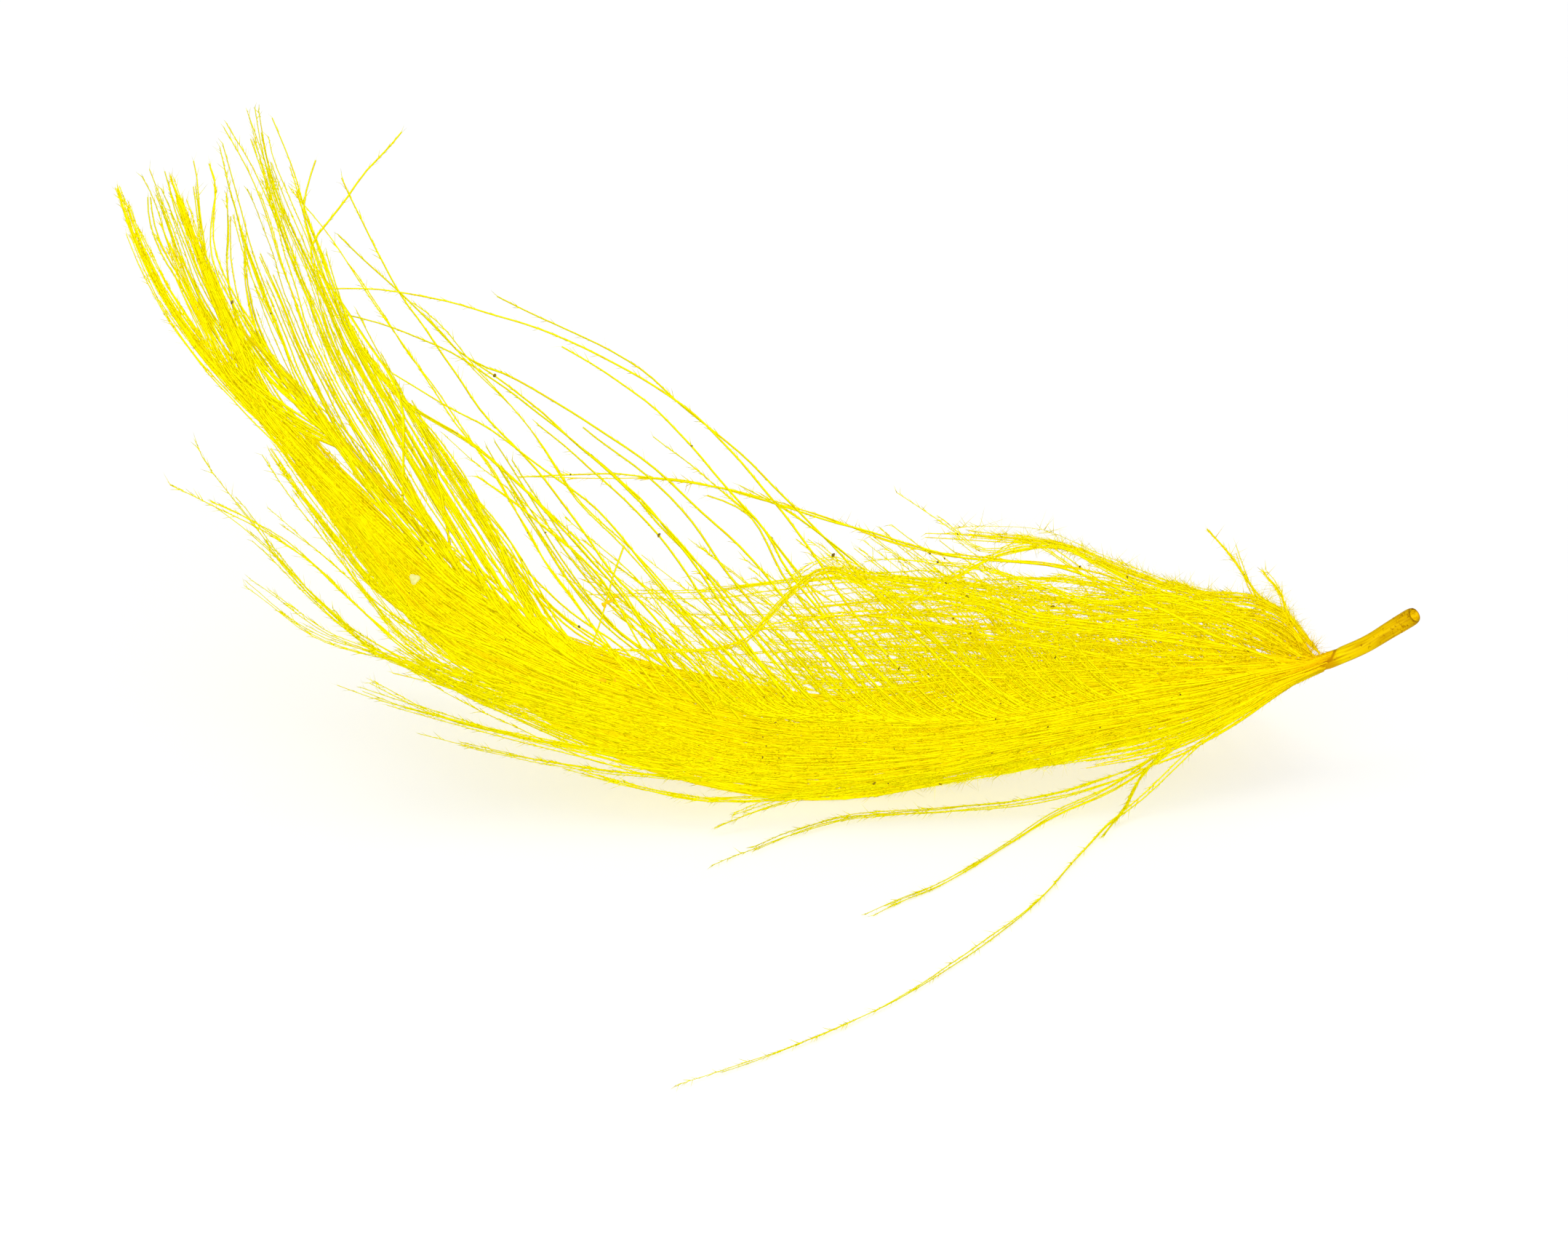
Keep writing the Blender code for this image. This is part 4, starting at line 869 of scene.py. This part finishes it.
# Near vane
# The barbs of the near side, of the same keratin, which grow from the shaft and lie forward: big loose locks
# over the band's front and its bend, and smaller clinging ones whose tips run out past its lower edge.
BIG_NEAR_LOCK = 20
NEAR_VANE = [
    # barbs, spread at the root, spread at the tip, points from root to tip
    (6, 0.22, 0.1, [(5.6, 1.7, 0.6), (1.5, 0.6, 1.2), (-1.5, 0.2, 1.4), (-4.5, 0.15, 1.4), (-7.0, 0.6, 1.4),
        (-9.2, 1.2, 1.4)]),
    (5, 0.16, 0.05, [(2.5, 1.5, 0.7), (-3.0, 0.9, 1.6), (-6.5, 1.0, 2.0), (-9.2, 1.35, 2.2),
        (-11.5, 1.8, 2.3), (-13.9, 2.4, 2.4)]),
    (6, 0.2, 0.05, [(-1.8, 1.5, 0.7), (-5.5, 1.1, 1.2), (-8.5, 1.7, 1.7), (-11.0, 2.3, 1.9),
        (-13.5, 3.0, 2.0), (-15.5, 3.6, 2.1), (-16.6, 4.05, 2.2)]),
    (3, 0.1, 0.05, [(-6.5, 1.8, 1.0), (-10.0, 2.2, 1.5), (-13.2, 2.95, 1.8), (-14.7, 3.6, 1.9),
        (-15.6, 4.05, 1.9)]),
    (6, 0.3, 0.04, [(-5.0, 2.0, 0.6), (-9.5, 2.8, 1.3), (-12.0, 3.6, 1.6), (-14.0, 4.6, 1.9),
        (-15.5, 5.0, 2.1), (-17.2, 5.6, 2.3), (-18.0, 6.1, 2.4), (-19.7, 7.4, 2.6)]),
    (4, 0.3, 0.05, [(-6.5, 2.6, 0.6), (-10.5, 3.4, 1.2), (-13.0, 3.9, 1.6), (-14.6, 4.75, 1.9),
        (-16.0, 5.6, 2.1), (-17.5, 6.9, 2.4), (-19.0, 8.4, 2.6), (-20.8, 9.9, 2.8)]),
    (3, 0.2, 0.03, [(-7.0, 2.8, 0.5), (-11.5, 3.7, 1.2), (-15.3, 5.1, 1.8), (-17.9, 7.4, 2.2),
        (-19.5, 9.4, 2.4), (-20.8, 11.0, 2.5), (-21.3, 12.0, 2.5)]),
    (3, 0.2, 0.05, [(-8.0, 3.4, 0.6), (-12.5, 4.3, 1.4), (-14.2, 5.1, 1.8), (-16.0, 6.6, 2.3),
        (-17.6, 8.2, 2.8), (-19.4, 9.4, 3.2), (-22.2, 10.7, 3.4)]),
    (2, 0.15, 0.05, [(-8.5, 3.6, 0.5), (-12.0, 4.8, 1.2), (-14.8, 6.3, 1.7), (-16.5, 7.7, 2.0),
        (-19.2, 9.9, 2.2)]),
    (2, 0.15, 0.03, [(-8.0, 3.0, 0.5), (-12.5, 4.0, 1.2), (-15.1, 4.9, 1.6), (-16.2, 5.9, 1.8),
        (-16.8, 6.6, 1.9)]),
    (14, 0.4, 0.22, [(-7.5, 3.4, 0.5), (-11.0, 4.9, 1.1), (-13.5, 5.9, 1.3), (-15.3, 7.1, 1.4),
        (-16.5, 8.5, 1.3), (-18.0, 10.4, 1.2), (-19.0, 11.8, 1.0)]),
    (6, 0.2, 0.12, [(4.2, 1.3, 0.6), (0.0, 0.6, 1.2), (-2.3, 0.0, 1.4), (-4.1, -0.72, 1.6)]),
    (12, 0.6, 0.35, [(-4.0, 1.6, 0.6), (-7.5, 1.9, 1.2), (-10.5, 3.0, 1.5), (-13.0, 4.2, 1.7),
        (-14.6, 5.2, 1.8)]),
    (12, 0.55, 0.45, [(-5.5, 2.2, 0.6), (-9.0, 3.1, 1.2), (-12.1, 4.2, 1.5), (-14.3, 5.5, 1.5),
        (-15.9, 7.4, 1.4), (-17.0, 9.2, 1.4)]),
    (8, 0.6, 0.4, [(-6.5, 2.7, 0.5), (-10.0, 3.6, 1.1), (-13.0, 5.0, 1.4), (-15.1, 7.5, 1.4),
        (-16.9, 9.9, 1.3)]),
    (26, 0.5, 0.5, [(13.5, 3.8, 0.4), (9.0, 3.0, 1.6), (3.0, 2.1, 2.0), (-3.0, 2.2, 1.8)]),
    (26, 0.5, 0.5, [(8.5, 2.6, 0.5), (3.0, 1.6, 1.5), (-3.0, 1.4, 1.8), (-8.0, 3.0, 1.5)]),
    (22, 0.42, 0.26, [(-6.0, 3.3, 0.4), (-10.2, 4.8, 1.1), (-13.8, 7.1, 1.1), (-16.8, 10.5, 1.0)]),
    (12, 0.25, 0.2, [(14.6, 4.0, 0.3), (12.6, 2.9, 0.7), (10.4, 2.2, 0.9), (7.0, 1.5, 1.2), (3.5, 0.9, 1.4),
        (0.5, 0.4, 1.5)]),
]

rng = np.random.default_rng(19)
near_barbs = []
for count, root_spread, tip_spread, points in NEAR_VANE:
    root = root_on_stem(np.array(points[0]), rng.uniform(*ROOT_SHIFT))
    # Big locks get a higher, more golden tip tone: painted bounce light among massed barbs.
    dense = 0.36 if count > BIG_NEAR_LOCK else 0.0
    near_barbs += bundle([tuple(root)] + points, count, root_spread, tip_spread, rng,
                         tone=(0.5, rng.uniform(0.05, 0.25) + dense), radius=rng.uniform(0.028, 0.038))
grow_barbs("near_vane", near_barbs, seed=31)

# Front strays
# Four small locks of near barbs, two to four fine keratin filaments each, that grow from the shaft near the
# quill, bent forward out of the feather and lie on the table in front of it.
STRAYS = [
    # barbs, spread at the tip, points from root to tip
    (4, 0.06, [(14.6, 4.0, 0.2), (13.9, 3.2, 0.4), (12.0, 2.4, 0.7), (10.4, 1.3, 0.8), (9.0, 0.4, 0.8),
        (7.5, -0.25, 0.9), (6.4, -0.9, 1.4), (5.0, -1.8, 2.7), (3.5, -2.65, 3.9), (2.0, -3.25, 4.8),
        (1.0, -3.7, 5.4)]),
    (2, 0.02, [(15.4, 4.2, 0.2), (13.9, 3.1, 0.4), (12.5, 2.2, 0.7), (11.0, 0.8, 0.8), (10.1, -0.05, 0.9),
        (9.3, -0.6, 1.1), (8.5, -1.4, 2.1), (8.0, -1.9, 2.8), (7.0, -3.0, 4.4), (6.0, -3.85, 5.6),
        (4.0, -5.25, 7.6), (1.5, -6.7, 9.7), (-2.0, -8.15, 11.8), (-5.2, -9.2, 13.3)]),
    (4, 0.05, [(13.0, 3.4, 0.3), (11.0, 1.8, 0.7), (10.1, 0.8, 0.8), (9.8, 0.1, 0.9), (9.3, -0.6, 1.1),
        (8.9, -1.1, 1.7)]),
    (4, 0.06, [(14.0, 3.8, 0.3), (12.0, 2.5, 0.7), (10.5, 1.4, 0.8), (8.5, 0.6, 0.8), (6.5, 0.1, 0.9),
        (4.0, -0.15, 0.9), (2.0, -0.3, 1.0), (0.5, -0.42, 1.1), (-1.0, -0.8, 1.5), (-2.5, -1.4, 2.2),
        (-4.1, -2.05, 3.1)]),
]

rng = np.random.default_rng(53)
stray_barbs = []
for count, spread, points in STRAYS:
    stray_barbs += bundle(points, count, 0.22, spread, rng, bend=0.03, tone=(0.45, 0.08), fluff=0.22,
                          lean=0.28, radius=0.028)
grow_barbs("front_strays", stray_barbs, seed=37, spacing=0.09)

# Back locks
# Barbs of the far side that folded under, soft keratin like the rest: they grow from the shaft, reach back to
# the table and hold the feather up behind, so that it lies on its belly without rocking.
BACK_LOCK_BARBS = 9
BACK_LOCKS = [
    [(-6.5, 3.6, -0.4), (-10.0, 3.4, -2.2), (-14.6, 4.6, -4.8)],
    [(-4.0, 2.8, -0.4), (-8.0, 2.6, -2.6), (-12.6, 3.8, -5.2)],
    [(-1.5, 2.4, -0.4), (-5.5, 2.6, -3.1), (-10.6, 4.6, -6.3)],
    [(1.5, 2.4, -0.4), (-2.5, 2.6, -3.0), (-8.2, 4.2, -6.0)],
    [(4.5, 2.6, -0.4), (0.5, 2.8, -3.8), (-5.2, 5.2, -7.2)],
    [(7.5, 2.9, -0.4), (3.5, 2.9, -3.6), (-2.4, 4.8, -6.8)],
    [(10.0, 3.4, -0.4), (6.4, 3.4, -4.4), (0.4, 5.8, -8.0)],
    [(12.5, 3.8, -0.4), (9.0, 3.6, -4.0), (3.6, 5.2, -7.4)],
    [(14.0, 4.2, -0.3), (11.2, 4.1, -4.6), (6.6, 6.2, -8.8)],
    [(15.2, 4.5, -0.3), (13.2, 4.3, -4.0), (9.6, 5.8, -8.2)],
]

rng = np.random.default_rng(61)
back_barbs = []
for points in BACK_LOCKS:
    back_barbs += bundle(points, BACK_LOCK_BARBS, 0.15, 0.45, rng, bend=0.09,
                         tone=(0.5, rng.uniform(0.25, 0.45)), fluff=0.28, lean=0.35)
grow_barbs("back_locks", back_barbs, seed=43)

# Dust grains
# What this feather picked up: dull dark grit and a curled hair-thin scrap. Each grain clings to the barb on
# which it lies, and the finest are strewn over all the barbs.
GRAINS = [
    # u, v, size, and how much longer than wide
    (-11.5, 14.45, 0.075, 1.2), (-20.2, 16.7, 0.06, 1.6), (4.3, 6.9, 0.07, 1.5), (7.2, 6.6, 0.075, 1.4),
    (4.5, 5.7, 0.055, 1.3), (8.1, 8.0, 0.05, 1.3), (-6.3, 8.8, 0.06, 1.8), (-1.9, 8.9, 0.065, 1.3),
    (-4.6, 12.0, 0.045, 1.3), (-8.9, 11.3, 0.04, 1.0), (3.9, 6.2, 0.045, 1.0), (9.75, 7.55, 0.045, 1.6),
    (-10.6, 9.0, 0.035, 1.0), (13.9, 5.2, 0.05, 1.2), (5.6, 3.3, 0.04, 1.0), (11.6, 3.7, 0.045, 1.0),
    (0.05, 8.4, 0.075, 1.4), (-8.65, 5.95, 0.05, 1.3), (3.7, 0.35, 0.05, 1.6), (1.35, 0.75, 0.05, 1.8),
]
LOOSE_GRAINS = 60
SCRAP = [(3.32, 8.42), (3.45, 8.36), (3.5, 8.24), (3.44, 8.12), (3.3, 8.08)]
# How many millimetres farther forward a barb has to be to make up for lying one farther off
FRONT_OVER_NEAR = 4.0

every_barb = band_barbs + far_barbs + loose_barbs + tuft_barbs + near_barbs + stray_barbs
barb_points = np.vstack([one["path"] for one in every_barb])
barb_girths = np.concatenate([one["girth"] for one in every_barb])


def on_barbs(u, v, span=0.3):
    """The place on the frontmost barb round a spot that is nearest to it."""
    apart = np.hypot(barb_points[:, 0] - u, barb_points[:, 1] - v)
    close = np.flatnonzero(apart < span)
    if not len(close):
        close = np.array([int(np.argmin(apart))])
    front = close[int(np.argmax(barb_points[close, 2] - FRONT_OVER_NEAR * apart[close]))]
    return barb_points[front] + (0.0, 0.0, barb_girths[front])


def grain(shell, place, size, longer, rng):
    """Adds one crumpled grain of a few faces to a mesh."""
    made = bmesh.ops.create_icosphere(shell, subdivisions=1, radius=1.0)["verts"]
    turn = rng.uniform(0.0, math.pi)
    for vert in made:
        x, y, z = np.array(vert.co) * rng.uniform(0.75, 1.2) * (size * longer, size, 0.7 * size)
        x, y = x * math.cos(turn) - y * math.sin(turn), x * math.sin(turn) + y * math.cos(turn)
        vert.co = on_table([place + np.array([x, y, z])])[0]


def litter_finish(name, dark, light, rough):
    """Dull waste, patchy at a tenth of a millimetre."""
    material, tree, shader = new_material(name, rough, 0.1)
    spot = add_node(tree, "ShaderNodeTexCoord").outputs["Object"]
    patches = add_node(tree, "ShaderNodeTexNoise", {"Vector": spot, "Scale": 10000.0, "Detail": 2.0})
    feed(shader, {"Base Color": colour_ramp(tree, patches, [(0.4, dark), (0.6, light)])})
    return material


def keep_litter(name, shell, material):
    """Finishes a mesh of litter."""
    bmesh.ops.recalc_face_normals(shell, faces=shell.faces)
    mesh = bpy.data.meshes.new(name)
    shell.to_mesh(mesh)
    shell.free()
    keep(bpy.data.objects.new(name, mesh), material)


rng = np.random.default_rng(83)
grains = bmesh.new()
for u, v, size, longer in GRAINS:
    grain(grains, on_barbs(u, v, span=0.2), 0.85 * size, longer, rng)
for number in range(LOOSE_GRAINS):
    chosen = barb_points[int(rng.integers(len(barb_points)))]
    grain(grains, on_barbs(*chosen[:2], span=0.15), rng.uniform(0.016, 0.03), rng.uniform(1.0, 2.0), rng)
for (u, v), (u2, v2) in zip(SCRAP, SCRAP[1:]):
    for share in (0.0, 0.5):
        grain(grains, on_barbs(u + (u2 - u) * share, v + (v2 - v) * share), 0.036, 1.2, rng)
keep_litter("dust_grains", grains, litter_finish("grit_dark", "564808", "8A7010", 0.8))

# Orange waste
# Crumbs of dye that dried orange: a smear of them on the band's front, and a knot of them round the snapped
# thread where it crosses the fan. They stick to the barbs and to the thread.
SMEAR_WASTE = [
    # u, v, size, and how much longer than wide
    (-8.1, 4.15, 0.07, 2.6), (-7.8, 4.1, 0.08, 2.2), (-7.5, 4.05, 0.05, 2.0), (-4.2, 1.5, 0.05, 2.2),
]
KNOT_WASTE = [
    (-7.76, 6.64, 0.09, 1.3), (-7.64, 6.72, 0.1, 1.2), (-7.5, 6.78, 0.08, 1.2), (-7.38, 6.9, 0.05, 1.3),
]
THREAD = [(-7.1, 8.6), (-7.45, 7.6), (-7.68, 6.7), (-7.9, 5.9), (-8.25, 4.9)]


def front_of(u, v, span):
    """How far the barbs round a spot stand out of the plane."""
    close = np.hypot(barb_points[:, 0] - u, barb_points[:, 1] - v) < span
    return float(np.max((barb_points[:, 2] + barb_girths)[close]))


waste = bmesh.new()
for u, v, size, longer in SMEAR_WASTE:
    grain(waste, on_barbs(u, v), size, longer, rng)
thread_lift = max(front_of(u, v, 0.5) for u, v in THREAD) + 0.03
for u, v, size, longer in KNOT_WASTE:
    grain(waste, np.array([u, v, thread_lift]), size, longer, rng)
keep_litter("orange_waste", waste, litter_finish("waste_dried_dye", "D2AA00", "DCBE00", 0.7))

# Snapped thread
# One nearly bare barb of the same dyed keratin that snapped off at both ends. It lies across the front of the
# fan, held by the waste and by the barbs that it touches.
thread_points = [(u, v, thread_lift) for u, v in THREAD]
thread = barb(thread_points, rng, radius=0.036, bend=0.02, tone=(0.35, 0.3), fluff=0.05, lean=0.2, tip=0.8)
grow_barbs("snapped_thread", [thread], seed=89, spacing=0.3, thickness=0.008)

# Skin flake
# One pale flake of the dry skin that sheathed the feather as it grew, a tilted uneven disc with a rounded rim.
# It clings to the barbs at the band's bend.
FLAKE = (-14.1, 7.5)
FLAKE_RADIUS = 0.17
FLAKE_SIDES = 14
FLAKE_RIMS = ((0.0, 0.9), (0.035, 1.0), (0.06, 0.8))

flake = bmesh.new()
middle = np.array([*FLAKE, front_of(*FLAKE, 0.6)])
turns = np.arange(FLAKE_SIDES) * 2 * math.pi / FLAKE_SIDES
reach = FLAKE_RADIUS * (1.0 + 0.2 * np.sin(3 * turns + 0.7))
rims = []
for lift, share in FLAKE_RIMS:
    spots = middle + np.column_stack([share * reach * np.cos(turns), share * reach * np.sin(turns),
                                      lift + 0.03 * np.cos(turns)])
    rims.append([flake.verts.new(spot) for spot in on_table(spots)])
for low, high in zip(rims, rims[1:]):
    for place in range(FLAKE_SIDES):
        after = (place + 1) % FLAKE_SIDES
        flake.faces.new((low[place], low[after], high[after], high[place]))
flake.faces.new(rims[0][::-1])
flake.faces.new(rims[-1])
keep_litter("skin_flake", flake, litter_finish("flake_dry_skin", "C8C474", "D2CE82", 0.6))

# Stage
# A plain white table top, a wide soft light above and a little behind, two fills without shadows in place of
# the light that real barbs let through, and a camera at the photo's angle.
TABLE_REACH = 2.0
table_mesh = bpy.data.meshes.new("table_top")
corners = [(x * TABLE_REACH, y * TABLE_REACH, 0.0) for x, y in ((-1, -1), (1, -1), (1, 1), (-1, 1))]
table_mesh.from_pydata(corners, [], [(0, 1, 2, 3)])
table_top = bpy.data.objects.new("table_top", table_mesh)
bpy.context.scene.collection.objects.link(table_top)
matt_white, _, board = new_material("matt_white_board", 0.9, 0.1)
feed(board, {"Base Color": linear("E1E1E1")})
table_mesh.materials.append(matt_white)

scene = bpy.context.scene
scene.view_settings.view_transform = "Standard"
world = bpy.data.worlds.new("white_room")
world.use_nodes = True
feed(world.node_tree.nodes["Background"], {"Color": (1.0, 1.0, 1.0, 1.0), "Strength": 0.55})
scene.world = world


def softbox(name, place, size, watts, shadows=True):
    """A square soft light that faces the feather, or a fill that brightens what the other lights shade."""
    lamp = bpy.data.lights.new(name, "AREA")
    lamp.use_shadow = shadows
    lamp.size = size
    lamp.energy = watts
    light = bpy.data.objects.new(name, lamp)
    light.location = place
    light.rotation_euler = (-Vector(place)).to_track_quat("-Z", "Y").to_euler()
    scene.collection.objects.link(light)


softbox("overhead_softbox", (-0.15, 0.22, 0.7), 0.45, 0.9)
softbox("front_fill", (0.04, -0.72, 0.52), 0.5, 7.4, shadows=False)
softbox("top_fill", (0.0, 0.35, 0.8), 0.5, 1.8, shadows=False)

CAMERA_RISE = math.radians(35.0)
CAMERA_DISTANCE = 0.8
VIEW_CENTRE = (-1.75, 5.88, 0.0)
VIEW_WIDTH = 52.5
camera_data = bpy.data.cameras.new("camera")
camera_data.sensor_width = 36.0
camera_data.lens = camera_data.sensor_width * CAMERA_DISTANCE / (VIEW_WIDTH * MM)
camera_data.clip_start = 0.01
camera_data.clip_end = 10.0
camera = bpy.data.objects.new("camera", camera_data)
scene.collection.objects.link(camera)
target = Vector(on_table([VIEW_CENTRE])[0])
back = Vector((0.0, -math.cos(CAMERA_RISE), math.sin(CAMERA_RISE)))
camera.location = target + back * CAMERA_DISTANCE
camera.rotation_euler = (-back).to_track_quat("-Z", "Y").to_euler()
scene.camera = camera
